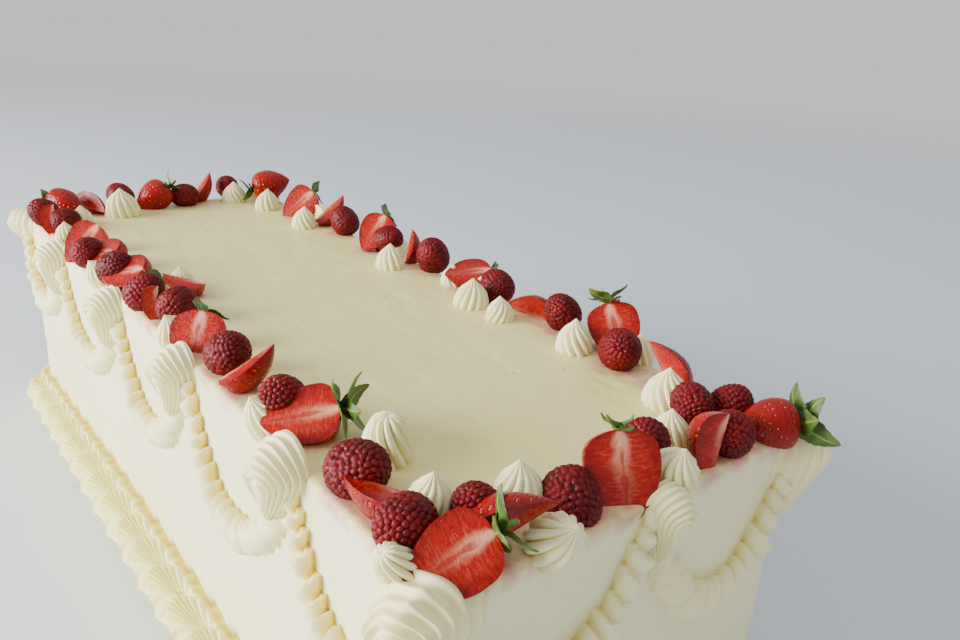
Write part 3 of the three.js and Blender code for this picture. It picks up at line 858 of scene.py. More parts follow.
RASPBERRIES: list[RaspberryAt] = [
    RaspberryAt(Side.LEFT, 29, 7, -60, 20),
    RaspberryAt(Side.LEFT, 65, 11, 20, 25, size=1.05),
    RaspberryAt(Side.LEFT, 128, 12, -70, 55),
    RaspberryAt(Side.LEFT, 186, 12, 10, 35, size=1.02),
    RaspberryAt(Side.LEFT, 264, 16, 130, 10),
    RaspberryAt(Side.LEFT, 291, 7, 60, 40, size=0.98),
    RaspberryAt(Side.LEFT, 343, 7, 20, 30, size=1.02),
    RaspberryAt(Side.LEFT, 385, 2, -30, 20),
    RaspberryAt(Side.LEFT, 482, 13, 80, 10, size=0.9),
    RaspberryAt(Side.LEFT, 505, 4, -60, 40),
    RaspberryAt(Side.NEAR, 32, 22, -120, 60, size=0.9),
    RaspberryAt(Side.NEAR, 69, 14, -25, -22, size=1.05, lift=-5),
    RaspberryAt(Side.NEAR, 115, 21, 60, 70, size=1.05, lift=-3),
    RaspberryAt(Side.NEAR, 155, 8, -40, 40, lift=-2),
    RaspberryAt(Side.NEAR, 164, 34, 150, 20, size=0.92),
    RaspberryAt(Side.NEAR, 181, 25, 60, 30, size=0.85),
    RaspberryAt(Side.RIGHT, 91, 18, -50, 30, size=1.08),
    RaspberryAt(Side.RIGHT, 147, 3, -100, 50),
    RaspberryAt(Side.RIGHT, 205, 2, 170, 20),
    RaspberryAt(Side.RIGHT, 273, 2, -60, 60, size=1.1),
    RaspberryAt(Side.RIGHT, 329, 2, 20, 20),
    RaspberryAt(Side.RIGHT, 388, 5, 190, 40, size=1.05),
    RaspberryAt(Side.RIGHT, 520, 8, 120, 20, size=0.9),
    RaspberryAt(Side.FAR, 38, 2, -20, 30, size=0.95, lift=2),
    RaspberryAt(Side.FAR, 82, 16, -80, 10),
    RaspberryAt(Side.FAR, 130, 2, 200, 30),
]

STRAWBERRIES: list[StrawberryAt] = [
    StrawberryAt(Side.LEFT, 50, 12, Cut.QUARTER, 130, -55, 80, size=0.85),
    StrawberryAt(Side.LEFT, 112, 12, Cut.HALF, -50, 50, -110, size=0.93, leaves=7, leafy=1.15, wide=0.95),
    StrawberryAt(Side.LEFT, 166, 12, Cut.QUARTER, -60, 35, 45, size=0.85),
    StrawberryAt(Side.LEFT, 218, 8, Cut.HALF, -45, 35, 180, size=0.95, leaves=2, lift=-7),
    StrawberryAt(Side.LEFT, 270, 7, Cut.QUARTER, -60, 10, 180, size=0.6),
    StrawberryAt(Side.LEFT, 304, 34, Cut.QUARTER, 140, -30, 80, size=0.75),
    StrawberryAt(Side.LEFT, 333, 9, Cut.SLICE, -70, 55, -110, size=0.9, leaves=1),
    StrawberryAt(Side.LEFT, 378, 9, Cut.SLICE, -80, 55, -100, size=0.9),
    StrawberryAt(Side.LEFT, 420, 8, Cut.HALF, -40, 35, -150, size=0.92, lift=-4),
    StrawberryAt(Side.LEFT, 482, 6, Cut.QUARTER, -60, 20, 160, size=0.75, lift=-2),
    StrawberryAt(Side.LEFT, 532, 26, Cut.HALF, 120, -30, -90, size=0.85, leaves=2),
    StrawberryAt(Side.NEAR, 10, 8, Cut.HALF, -40, 42, -125, size=0.96, lift=-2, leaves=5, leafy=1.1,
                 stem=9, wide=0.9),
    StrawberryAt(Side.NEAR, 36, 8, Cut.QUARTER, 130, -20, -50, size=0.95),
    StrawberryAt(Side.NEAR, 89, 8, Cut.HALF, -30, 24, 175, size=1.02, leaves=5, lift=-5, leafy=0.6),
    StrawberryAt(Side.NEAR, 141, 3, Cut.QUARTER, -60, 20, 185, size=0.92, lift=-7),
    StrawberryAt(Side.NEAR, 180, 6, Cut.HALF, 150, -55, 90, size=0.78, leaves=4, leafy=1.6, stem=8),
    StrawberryAt(Side.RIGHT, 66, 15, Cut.QUARTER, -50, 25, -30, size=0.9, lift=-3),
    StrawberryAt(Side.RIGHT, 108, 2, Cut.HALF, -50, 35, 160, size=0.95, leaves=5, stem=6),
    StrawberryAt(Side.RIGHT, 174, 4, Cut.QUARTER, -70, 40, -80, size=0.9),
    StrawberryAt(Side.RIGHT, 233, 2, Cut.HALF, -39, 68, -105, size=0.9, leaves=3),
    StrawberryAt(Side.RIGHT, 302, 3, Cut.QUARTER, -60, 30, 0, size=0.75),
    StrawberryAt(Side.RIGHT, 335, 10, Cut.HALF, -50, 35, 200, size=0.9, leaves=2, lift=3),
    StrawberryAt(Side.RIGHT, 420, 2, Cut.QUARTER, -40, 20, 45, size=0.9),
    StrawberryAt(Side.RIGHT, 455, 11, Cut.HALF, -50, 30, -140, size=0.95, leaves=2),
    StrawberryAt(Side.RIGHT, 510, 11, Cut.HALF, 140, -30, -70, size=0.95, leaves=3, lift=5),
    StrawberryAt(Side.FAR, 64, 3, Cut.QUARTER, -40, 30, 30, size=0.85),
    StrawberryAt(Side.FAR, 107, 15, Cut.HALF, 150, -30, 130, size=0.9, leaves=3, stem=9),
    StrawberryAt(Side.FAR, 160, 18, Cut.QUARTER, 120, -70, -90),
]


@dataclass
class CakeCoat:
    """The smoothed body of the cake: a slightly uneven wall, a tight rounded edge and a level top.

    The counts are the rings on the underside, up the wall, round the edge, over the rim and in over
    the top.
    """

    edge: float = 2.5
    rim: float = 8.0
    step: float = 4.4
    corner_steps: int = 7
    under: int = 6
    wall: int = 34
    rounding: int = 7
    ledge: int = 7
    inner: int = 26
    unevenness: float = 0.45
    swell: float = 180.0
    top_unevenness: float = 0.35
    top_swell: float = 150.0
    juice: float = 0.85
    juice_reach: tuple = (10.0, 18.0)

    def outline(self) -> tuple[Array, Array]:
        """The outline in plan, walked round once: a rounded rectangle.

        Returns:
            Its points and its outward directions.
        """
        half = np.array([BODY.length, BODY.width]) / 2 - BODY.corner
        straights = np.array([half[0], half[1], half[0], half[1]]) * 2
        pieces = []
        for k, corner in enumerate(CORNERS):
            start = np.array(corner) * half
            facing = (k - 1) * np.pi / 2
            run = np.array([np.cos(facing + np.pi / 2), np.sin(facing + np.pi / 2)])
            t = np.arange(0, straights[k], self.step)[:, None]
            pieces.append((start + run * t, np.full(len(t), facing)))
            turn = np.linspace(0, np.pi / 2, self.corner_steps + 1)[:-1]
            pieces.append((np.repeat((start + run * straights[k])[None], len(turn), 0), facing + turn))
        centre = np.concatenate([piece[0] for piece in pieces])
        facing = np.concatenate([piece[1] for piece in pieces])
        out = np.stack([np.cos(facing), np.sin(facing)], -1)
        points = centre + out * BODY.corner
        points[:, 1] -= np.sign(points[:, 1]) * BODY.drawn_in(points[:, 0])
        return points, out

    def rings(self) -> tuple[Array, Array, Array]:
        """The rings from the middle of the underside up the wall and in to the middle of the top.

        Returns:
            How far each one is set in from the outline, how far it is shrunk, and its height.
        """
        bend = np.linspace(0, np.pi / 2, self.rounding)
        inset = np.concatenate([
            np.full(self.under, self.rim), np.zeros(self.wall), self.edge * (1 - np.cos(bend)),
            np.linspace(self.edge, self.rim, self.ledge + 1)[1:], np.full(self.inner, self.rim)])
        shrink = np.concatenate([
            np.linspace(0.05, 0.97, self.under), np.ones(self.wall + self.rounding + self.ledge),
            np.linspace(1, 0.02, self.inner + 1)[1:]])
        level = np.concatenate([
            np.zeros(self.under), np.linspace(0.4, BODY.height - self.edge - 1, self.wall),
            BODY.height - self.edge * (1 - np.sin(bend)), np.full(self.ledge + self.inner, BODY.height)])
        return inset, shrink, level

    def build(self, fruit: Array) -> Surface:
        """The coat as rings of the outline, swollen out and up by soft waves.

        Args:
            fruit: Where the fruits rest in plan, for their juice stains.

        Returns:
            The coat's surface.
        """
        points, out = self.outline()
        inset, shrink, level = self.rings()
        level = np.broadcast_to(level[:, None], (len(level), len(points))).copy()
        plan = (points[None] - out[None] * inset[:, None, None]) * shrink[:, None, None]
        on_top = smoothstep(level, BODY.height - self.edge - 2, BODY.height - 0.3)
        walk = np.arange(len(points)) * self.step
        swell = waves(walk[None] + 0 * level, level * 1.5, SEED, self.swell) * self.unevenness
        plan += (out[None] * swell[..., None]) * (smoothstep(level, 4, 30) * (1 - on_top))[..., None]
        level += on_top * waves(plan[..., 0], plan[..., 1], SEED + 1, self.top_swell) * self.top_unevenness
        near = np.min(np.hypot(plan[..., 0, None] - fruit[:, 0], plan[..., 1, None] - fruit[:, 1]), -1)
        juice = smoothstep(-near, -self.juice_reach[1], -self.juice_reach[0])
        juice = juice * smoothstep(level, BODY.height - 9, BODY.height - 2)
        grid = np.concatenate([plan, level[..., None]], -1)
        rings, turns = level.shape
        low, high = grid[0].mean(0), grid[-1].mean(0)

        def place(u: Array, v: Array) -> tuple[Array, Layers]:
            """Reads the grid, with a pole at the middle of the underside and of the top."""
            ring = np.clip(np.round(v * (rings + 1)).astype(int) - 1, 0, rings - 1)
            turn = np.round(u * turns).astype(int) % turns
            found = grid[ring, turn]
            found[-2], found[-1] = low * [0, 0, 1], high * [0, 0, 1]
            return found, {"top": on_top[ring, turn], "juice": self.juice * juice[ring, turn]}

        return Surface.closed(place, turns, rings + 1)


@dataclass
class PipedStar:
    """A star of cream: a twisted, ridged cone with a drawn-out point or a blunt, fringed tip."""

    width: float = 20.0
    height: float = 17.0
    root: float = 2.0
    ridges: int = 12
    ridge_steps: int = 6
    rings: int = 22
    groove: float = 0.22
    fringe: float = 1.1
    fade: float = 0.4
    oval: float = 0.04
    twist: float = 38.0
    twists: tuple = (0.7, 1.9)
    slant: float = 1.2

    def build(self, row: StarAt, seed: int) -> Surface:
        """One star, its radius cut by grooves that wind round it as it rises.

        Args:
            row: Where it sits.
            seed: Picks how far it leans and twists by hand.

        Returns:
            The star's surface.
        """
        draw = np.random.default_rng(seed)
        width, height = self.width * row.size, self.height * row.size + self.root
        radii, levels = row.tip.value
        slant = draw.uniform(-self.slant, self.slant, 2)
        wind = np.radians(self.twist * draw.uniform(*self.twists) * draw.choice([-1, 1]))
        deepening = self.fringe if row.tip is Tip.BLUNT else self.fade

        def place(u: Array, v: Array) -> tuple[Array, Layers]:
            """The point at turn u and height share v."""
            mark = np.linspace(0, 1, len(radii))
            radius, level = np.interp(v, mark, radii), np.interp(v, mark, levels)
            angle = 2 * np.pi * u + wind * level
            ridge = grooves(self.ridges * u)
            deep = self.groove * (1.0 + deepening * level)
            radius = radius * width * (1 - deep * (1 - ridge)) * (1 + self.oval * np.sin(2 * angle + seed))
            lean = level**2
            points = np.stack([radius * np.cos(angle) + slant[0] * lean,
                               radius * np.sin(angle) + slant[1] * lean, level * height - self.root], -1)
            # painted shade: the layer darkens the grooves, most of all towards the star's foot
            return points, {"hollow": (1 - ridge) ** 2 * 0.5 * smoothstep(1 - level, 0.05, 0.5)}

        out = np.array(row.side.value[2])
        tilt = heading(math.degrees(math.atan2(out[1], out[0])), 90 - row.lean)
        turn = np.array(Vector((0, 0, 1)).rotation_difference(Vector(tilt)).to_matrix())
        return Surface.closed(place, self.ridge_steps * self.ridges, self.rings).moved(
            turn, BODY.on_side(row.side, row.along, -row.inset, BODY.height))


@dataclass(frozen=True)
class ShellAt:
    """Where a peak shell hangs, and how it differs from the usual one.

    The slant is how far its tail swings along the side, and the drop how far it hangs below the usual
    height. The wrap turns a corner shell off its side, in degrees. The focus is the middle of its
    arches, to the right and up from its own middle as shares of its radius, and the frill is how far
    two frills stand out from its brow.
    """

    along: float
    slant: float = -10.0
    corner: bool = False
    size: float = 1.0
    drop: float = 0.0
    wrap: float = 45.0
    focus: tuple | None = None
    frill: float = 0.0


@dataclass(frozen=True)
class SwagAt:
    """Where a swag starts and ends, its lowest height and where that lies, and its ends' heights."""

    start: float
    end: float
    low: float
    at: float = 0.5
    ends: tuple = (149, 130)


@dataclass
class Piping:
    """The peak shells and ruffled swags of one side.

    The front is the share of a shell's grid that covers its front, the rest of it being the flat back.
    The keen share is how far a petal of a swag falls from its raised edge, and the pocket shade share
    is how strongly painted shade tints its pockets.
    """

    side: Side
    shells: list[ShellAt]
    swags: list[SwagAt]
    pitch: float = 8.7
    shell_radius: float = 14.5
    shell_proud: float = 17.5
    tail: float = 31.0
    shell_top: float = 147.0
    arches: float = 8.5
    arch_depth: float = 1.6
    corner_depth: float = 1.35
    dome: float = 2.4
    corner_dome: float = 3.4
    front: float = 0.86
    frills: tuple = (0.3, 1.1)
    frill_width: float = 0.2
    focus: tuple = (0.42, -0.25)
    detail: float = 0.95
    shell_grid: tuple = (84, 92)
    root: float = 12.0
    sunk: float = 1.5
    swag_radius: float = 9.0
    swag_proud: float = 9.0
    swag_around: float = 44.0
    swag_step: float = 0.68
    slack: float = 1.25
    loose: float = 0.07
    keen: float = 0.80
    undercut: float = 0.30
    # painted shade: how strongly the swags' pockets are tinted
    pocket_shade: float = 1.0
    fall: float = 2.4
    taper: float = 0.2
    petals: int = 64

    def shell(self, row: ShellAt) -> Surface:
        """A peak shell: arches cut into a dome round a focus, all drawn down into one tail.

        The grid's rays leave the focus and reach the edge of a disc that is laid over the dome, so the
        arches are the lines of an equal share along the rays. The lower part of the disc is pulled down
        into the tail.

        Args:
            row: Where it hangs.

        Returns:
            The shell's surface.
        """
        middle = BODY.on_side(self.side, row.along, 0.0, self.shell_top - row.drop)
        out = np.array([*self.side.value[2], 0.0])
        eye = np.array(row.focus or ((0.0, 0.0) if row.corner else self.focus))
        if row.corner:
            turn = math.radians(row.wrap)
            out = np.array([np.sign(middle[0]) * np.sin(turn), np.sign(middle[1]) * np.cos(turn), 0.0])
            middle = middle - out * (np.sqrt(2) - 1) * BODY.corner * np.sin(2 * turn)
        back = -self.root if row.corner else -self.sunk
        dome_power = self.corner_dome if row.corner else self.dome
        depth = self.arch_depth * (self.corner_depth if row.corner else 1.0) * row.size
        right, up = np.cross([0.0, 0.0, 1.0], out), np.array([0.0, 0.0, 1.0])
        radius, proud, tail = (size * row.size for size in (self.shell_radius, self.shell_proud, self.tail))
        wobble = np.random.default_rng(int(row.along) + 7).uniform(0, 2 * np.pi, 3)

        def place(u: Array, v: Array) -> tuple[Array, Layers]:
            """The point at turn u, from the focus of the arches at v 0 to the middle of the back at v 1."""
            share = np.minimum(1.0, v / self.front)
            ray = np.stack([np.sin(2 * np.pi * u), np.cos(2 * np.pi * u)], -1)
            inward = -(ray @ eye)
            room = inward + np.sqrt(inward**2 + 1 - eye @ eye)
            disc = eye + ray * (room * np.sin(share * np.pi / 2))[:, None]
            spread = np.minimum(1.0, np.hypot(disc[:, 0], disc[:, 1]))
            angle = np.arctan2(disc[:, 0], disc[:, 1])
            pull = smoothstep(-np.cos(angle), 0, 1.05) * smoothstep(spread, 0, 0.25)
            frills = sum(np.exp(-(((angle - at) / self.frill_width) ** 2)) for at in self.frills)
            brow = smoothstep(spread, 0.55, 0.82) * (1 - smoothstep(spread, 0.88, 1.0))
            reach = radius * spread * (1 - pull) * (1 + row.frill * frills * brow)
            across = reach * np.sin(angle) + row.slant * pull * np.sqrt(spread)
            rise = reach * np.cos(angle) - tail * pull * np.sqrt(spread)
            drift = 0.16 * np.sin(4 * np.pi * u + wobble[0]) + 0.08 * np.sin(10 * np.pi * u + wobble[1])
            ridge = crests(self.arches * share + drift * share)
            strength = smoothstep(share, 0.06, 0.26) * (1 - 0.35 * pull)
            strength = strength * (1 - smoothstep(share, 0.95, 1.0)) * smoothstep(room, 0.15, 0.7)
            cut = depth * (1 - ridge) * strength
            lump = 1 + 0.035 * np.sin(3 * angle + wobble[2])
            dome = np.sqrt(np.maximum(0, 1 - spread**dome_power)) * (1 - 0.4 * pull) * lump
            shrink = np.where(v > self.front, (1 - v) / (1 - self.front), 1.0)
            level = back + (proud - back) * dome - cut * (1 - spread**2) ** 0.3
            deep = np.where(v > self.front, back, np.maximum(level, back))
            slim = (1 - cut * spread / radius) * shrink
            points = middle + right * (across * slim)[:, None] + up * (rise * slim)[:, None]
            # painted shade: the layer tints the arches' valleys and the rim where the shell meets the wall
            hollow = (1 - ridge) * strength * 0.34 + smoothstep(share, 0.92, 1.0) * 0.4
            return points + out * deep[:, None], {"hollow": np.clip(hollow, 0, 1)}

        return Surface.closed(place, *(round(count * self.detail) for count in self.shell_grid))

    def swag(self, row: SwagAt) -> Surface:
        """A swag: overlapping petals along a rope that hangs between two shells.

        Each petal starts with a crisp, raised edge and sinks towards the next one's, most of all on the
        side towards the cake's top, where it leaves a deep pocket beside the wall.

        Args:
            row: Where it hangs.

        Returns:
            The swag's surface.
        """
        rings = int(self.slack * abs(row.end - row.start) / self.swag_step * self.detail)
        loose = np.random.default_rng(int(row.start) + 3).uniform(-1, 1, self.petals)

        def centre(t: Array) -> tuple[Array, Array]:
            """The rope's middle line: how far along and how high it is at share t."""
            droop = np.where(t < row.at, t / row.at, (1 - t) / (1 - row.at))
            level = row.ends[0] + (row.ends[1] - row.ends[0]) * t
            return (row.start + (row.end - row.start) * t,
                    level - (level - row.low) * (1 - (1 - droop) ** self.fall))

        fine = np.linspace(0, 1, 400)
        steps = np.diff(np.stack(centre(fine), -1), axis=0)
        walked = np.concatenate([[0], np.cumsum(np.hypot(*steps.T))])

        def place(u: Array, v: Array) -> tuple[Array, Layers]:
            """The point at turn u round the rope and share v along it."""
            here = centre(v)
            before, after = centre(np.maximum(0, v - 0.01)), centre(np.minimum(1, v + 0.01))
            slope = np.arctan2(after[1] - before[1], after[0] - before[0])
            angle = 2 * np.pi * u
            top = np.cos(angle) * np.sign(row.end - row.start)
            mark = np.interp(v, fine, walked) / self.pitch
            petal = mark + 0.30 * np.abs(top) ** 1.5 * np.where(top > 0, 1.0, -0.9)
            petal = petal + 0.12 * np.sin(1.7 * mark + row.start)
            which = np.floor(petal).astype(int) % self.petals
            share = petal - np.floor(petal)
            edge = smoothstep(share, 0.0, 0.10)
            sink = edge * np.maximum(0.0, 1 - share / 0.82) ** 0.55
            upper = smoothstep(top, -0.1, 0.9)
            width = 1 + self.loose * loose[which] * edge + 0.05 * np.sin(3 * angle + 2.1 * which)
            gap = np.exp(-((share / 0.09) ** 2)) + np.exp(-(((1 - share) / 0.12) ** 2))
            fallen = self.keen * (1 - sink)
            wide = (1.22 - fallen) * upper + (0.74 + 0.42 * sink - 0.12 * gap) * (1 - upper)
            rise = (1.08 - fallen) * upper + (0.66 + 0.44 * sink - 0.16 * gap) * (1 - upper)
            taper = (4 * v * (1 - v)) ** self.taper
            under = 1 - self.undercut * upper * (1 - smoothstep(np.sin(angle), 0.0, 0.6))
            across = self.swag_radius * wide * width * taper * under * np.cos(angle)
            deep = self.swag_proud * rise * width * taper * np.sin(angle)
            deep = np.where(np.sin(angle) > 0.02, np.maximum(deep, -self.sunk), -self.sunk)
            points = BODY.on_side(self.side, here[0] - across * np.sin(slope), deep,
                                  here[1] + across * np.cos(slope))
            # painted shade: the layer tints the upper flank, the pockets beside the wall and the gaps
            # between petals
            pocket = smoothstep(top, 0.0, 0.7) * (1 - sink) ** 0.7 + smoothstep(top, 0.85, 1.0) * 0.3
            return points, {"hollow": np.clip(self.pocket_shade * (pocket + 0.45 * gap), 0, 1)}

        return Surface.closed(place, round(self.swag_around * self.detail), rings)

    def build(self) -> Surface:
        """All the shells and swags of the side as one surface."""
        shells = [self.shell(row) for row in self.shells]
        return Surface.joined(shells + [self.swag(row) for row in self.swags])


PIPING: list[Piping] = [
    Piping(Side.LEFT, [
        ShellAt(9, corner=True, wrap=14, size=1.1, drop=7, focus=(0.25, -0.1), frill=0.12), ShellAt(98),
        ShellAt(213, drop=4), ShellAt(325, drop=7), ShellAt(451, drop=9), ShellAt(546, corner=True, drop=4),
    ], [
        SwagAt(96, 4, 93), SwagAt(206, 101, 91), SwagAt(320, 216, 89), SwagAt(446, 328, 88),
        SwagAt(543, 454, 92),
    ]),
    Piping(Side.RIGHT, [
        ShellAt(0, corner=True, drop=9), ShellAt(106), ShellAt(216), ShellAt(330), ShellAt(440),
        ShellAt(546, corner=True, drop=4),
    ], [
        SwagAt(5, 103, 93), SwagAt(111, 213, 91), SwagAt(221, 327, 90), SwagAt(335, 437, 92),
        SwagAt(445, 542, 91),
    ], focus=(-0.4, 0.4), detail=0.72),
    Piping(Side.NEAR, [ShellAt(104, slant=-3, size=0.78, drop=2)], [
        SwagAt(98, 4, 98), SwagAt(196, 103, 89, at=0.56, ends=(148, 130)),
    ], pitch=9.2, keen=0.42, pocket_shade=0.4, focus=(-0.25, -0.3), detail=1.0, loose=0.16),
    Piping(Side.FAR, [ShellAt(104, slant=-5)], [
        SwagAt(4, 102, 95), SwagAt(108, 196, 93),
    ], pitch=9.6, keen=0.5, pocket_shade=0.5, focus=(0.1, 0.0), detail=0.72),
]


@dataclass
class Border:
    """The border round the foot: fans whose ridges spread from a tail, each over the next one's tail.

    The dip is how much smaller a tail is than its head, the head is the share of a fan over which it
    rises, and the arc is how far the middle of a head reaches past its ends. The hinge is where the
    ridges meet, in fans behind the head, and the lean is how far that point lies up the section.
    """

    proud: float = 21.0
    height: float = 23.0
    pitch: float = 29.5
    step: float = 1.5
    dip: float = 0.42
    head: float = 0.08
    arc: float = 0.62
    ridges: float = 7.0
    ridge_depth: float = 0.10
    hinge: float = 1.3
    lean: float = 0.25
    sunk: float = 1.0
    fine: int = 62
    jitter: float = 0.05
    depth_power: float = 0.6
    rise_power: float = 0.72
    gutter: float = 0.18

    def stations(self) -> tuple[Array, Array, Array, Array]:
        """Even stations round the foot, along the straights and round the corners.

        Returns:
            Each station's place round the foot from 0 to 1, its x and y at the middle of the corners'
            arcs, and the way out from there as an angle.
        """
        straights = np.array([BODY.length, BODY.width, BODY.length, BODY.width]) - 2 * BODY.corner
        quarter = np.pi / 2 * BODY.corner
        ends = np.cumsum(straights + quarter)
        around = float(ends[-1])
        walk = np.arange(0, around, around / round(around / self.step))
        side = np.searchsorted(ends, walk, side="right")
        rest = walk - (ends - straights - quarter)[side]
        facing = (side - 1) * np.pi / 2
        straight = np.minimum(rest, straights[side])
        turn = np.maximum(0, rest - straights[side]) / BODY.corner
        first = np.array(CORNERS)[side]
        x = first[:, 0] * straights[0] / 2 + np.cos(facing + np.pi / 2) * straight
        y = first[:, 1] * straights[1] / 2 + np.sin(facing + np.pi / 2) * straight
        return walk / around, x, y, facing + turn

    def build(self) -> Surface:
        """The border as a section carried round the foot, its size set by the place on each fan.

        The section is a quarter of a superellipse from the floor to the wall. The place on a fan is the
        way round the foot less a parabola over the section, and the ridges are crests over the angle
        from the fan's hinge.

        Returns:
            The border's surface.
        """
        way, x, y, facing = self.stations()
        count = round(len(way) * self.step / self.pitch)
        bend = np.linspace(0, 1, self.fine)[None]
        lateral = 2 * bend - 1
        loose = np.random.default_rng(SEED + 2).uniform(-1, 1, count + 2)
        mark = (way * count)[:, None] - self.arc * lateral**2 + 0 * bend
        which = np.floor(mark).astype(int) % count
        mark = mark + self.jitter * loose[which]
        share = mark - np.floor(mark)
        size = smoothstep(share, -0.02, self.head) * (1 - (1 - 0.25 * loose[which]) * share**1.25)
        swell = 1 - self.dip + self.dip * np.clip(size, 0, 1)
        fan = np.arctan((lateral - self.lean) / (self.hinge - share))
        ridge = crests(self.ridges * fan + 0.1 * loose[which])
        edges = smoothstep(bend, 0.0, 0.06) * smoothstep(1 - bend, 0.0, 0.04)
        cut = 1 - self.ridge_depth * (1 - ridge) * edges * smoothstep(share, 0.0, 0.12) * (1 - 0.6 * share)
        angle = bend * np.pi / 2
        gutter = 1 - self.gutter * smoothstep(bend, 0.88, 1.0)
        depth = np.cos(angle) ** self.depth_power * cut
        rise = np.sin(angle) ** self.rise_power * cut * gutter
        depth[:, -1], rise[:, 0] = 0.0, 0.0
        back = (-self.sunk - BODY.drawn_in(x) * np.abs(np.sin(facing)))[:, None]
        reach = BODY.corner + back + depth * (self.proud * swell - back)
        z = rise * swell * self.height
        # painted shade: the layer darkens the ridges' valleys, the gutter at the wall and each fan's tail
        # under the next head
        hollow = (1 - ridge) * 0.4 + smoothstep(bend, 0.86, 1.0) * 0.75 + smoothstep(share, 0.8, 1.0) * 0.5
        foot = np.zeros((len(way), 1))
        reach = np.concatenate([BODY.corner + back, reach], 1)
        z = np.concatenate([foot, z], 1)
        hollow = np.clip(np.concatenate([foot, hollow], 1), 0, 1)
        points = np.stack([x[:, None] + reach * np.cos(facing)[:, None],
                           y[:, None] + reach * np.sin(facing)[:, None], z], -1)
        return Surface.hoop(points, {"hollow": hollow})


@dataclass
class Raspberry:
    """A raspberry: a blunt cone packed with round drupelets in staggered rows."""

    length: float = 24.0
    width: float = 22.0
    bead: float = 1.42
    beads_differ: tuple = (0.9, 1.12)
    rows: int = 14
    first_row: float = 0.35
    spacing: float = 1.72
    jitter: float = 0.012
    inset: float = 0.72
    fine: tuple = (116, 78)
    medium: tuple = (84, 54)
    coarse: tuple = (60, 40)

    def beads(self, seed: int, half: Array) -> Array:
        """Where the drupelets sit: rows along the berry, each with as many as fit round it.

        Args:
            seed: Picks how far each one is out of line.
            half: The bare berry's half length and half width.

        Returns:
            Their middles.
        """
        draw = np.random.default_rng(seed)
        found = []
        for row in range(self.rows):
            v = (row + self.first_row) / self.rows
            fit = max(1, round(2 * np.pi * self.radius(v) * half[1] / (self.spacing * self.bead)))
            off = draw.uniform(-self.jitter, self.jitter, fit)
            level = v + draw.uniform(-self.jitter, self.jitter, fit)
            found.append(self.surface(np.arange(fit) / fit + (row % 2) * 0.5 / fit + off, level, half))
        return np.concatenate(found)

    def radius(self, v: Array) -> Array:
        """The radius as a share of the half width: round at the tip, widest past the middle."""
        return np.maximum(0, np.sin(np.pi * v)) ** 0.75 * (0.82 + 0.28 * v)

    def surface(self, u: Array, v: Array, half: Array) -> Array:
        """The bare berry's surface, its radius carried along the cosine of the way from its tip.

        Args:
            u: The turn round the berry, from 0 to 1.
            v: The way from its tip, from 0 to 1.
            half: Its half length and half width.

        Returns:
            The points.
        """
        radius = self.radius(v) * half[1]
        return np.stack([np.cos(np.pi * v) * half[0], radius * np.cos(2 * np.pi * u),
                         radius * np.sin(2 * np.pi * u)], -1)

    def grid(self, row: RaspberryAt) -> tuple[int, int]:
        """The turns and rings of a berry's grid, the more of them the nearer it lies to the front.

        Args:
            row: Where it lies.

        Returns:
            The turns and the rings.
        """
        if row.side in (Side.LEFT, Side.NEAR):
            return self.fine if row.along < 182 else self.medium if row.along < 350 else self.coarse
        return self.medium if row.side is Side.RIGHT and row.along < 210 else self.coarse

    def build(self, row: RaspberryAt, seed: int) -> Surface:
        """One raspberry, turned and set down on the cake.

        Args:
            row: Where it lies.
            seed: Picks its drupelets' places.

        Returns:
            The berry's surface.
        """
        half = np.array([self.length, self.width]) / 2 * row.size
        inner = half - self.inset * self.bead
        centres = self.beads(seed, inner)
        sizes = self.bead * np.random.default_rng(seed + 500).uniform(*self.beads_differ, len(centres))

        def place(u: Array, v: Array) -> tuple[Array, Layers]:
            """The bare surface, raised by a ball's height over the nearest drupelet's middle."""
            bare = self.surface(u, v, inner)
            out = bare / np.array([inner[0], inner[1], inner[1]]) ** 2
            out /= np.linalg.norm(out, axis=1, keepdims=True)
            gap = np.linalg.norm(bare[:, None] - centres[None], axis=2) / sizes[None]
            gap = np.partition(gap, 1, axis=1)[:, :2]
            apart = smoothstep(gap[:, 1] - gap[:, 0], -0.05, 0.45)
            lift = np.sqrt(np.maximum(0, 1.2 - gap[:, 0] ** 2)) * (0.55 + 0.45 * apart)
            raised = bare + out * (lift * self.bead * 0.8 - 0.35)[:, None]
            # painted shade: the layer is highest between the drupelets
            return raised, {"hollow": 1 - np.clip(lift / 1.1, 0, 1)}

        aim = Vector((1, 0, 0)).rotation_difference(Vector(heading(row.tip, row.rise)))
        return Surface.closed(place, *self.grid(row)).set_down(np.array(aim.to_matrix()), row)


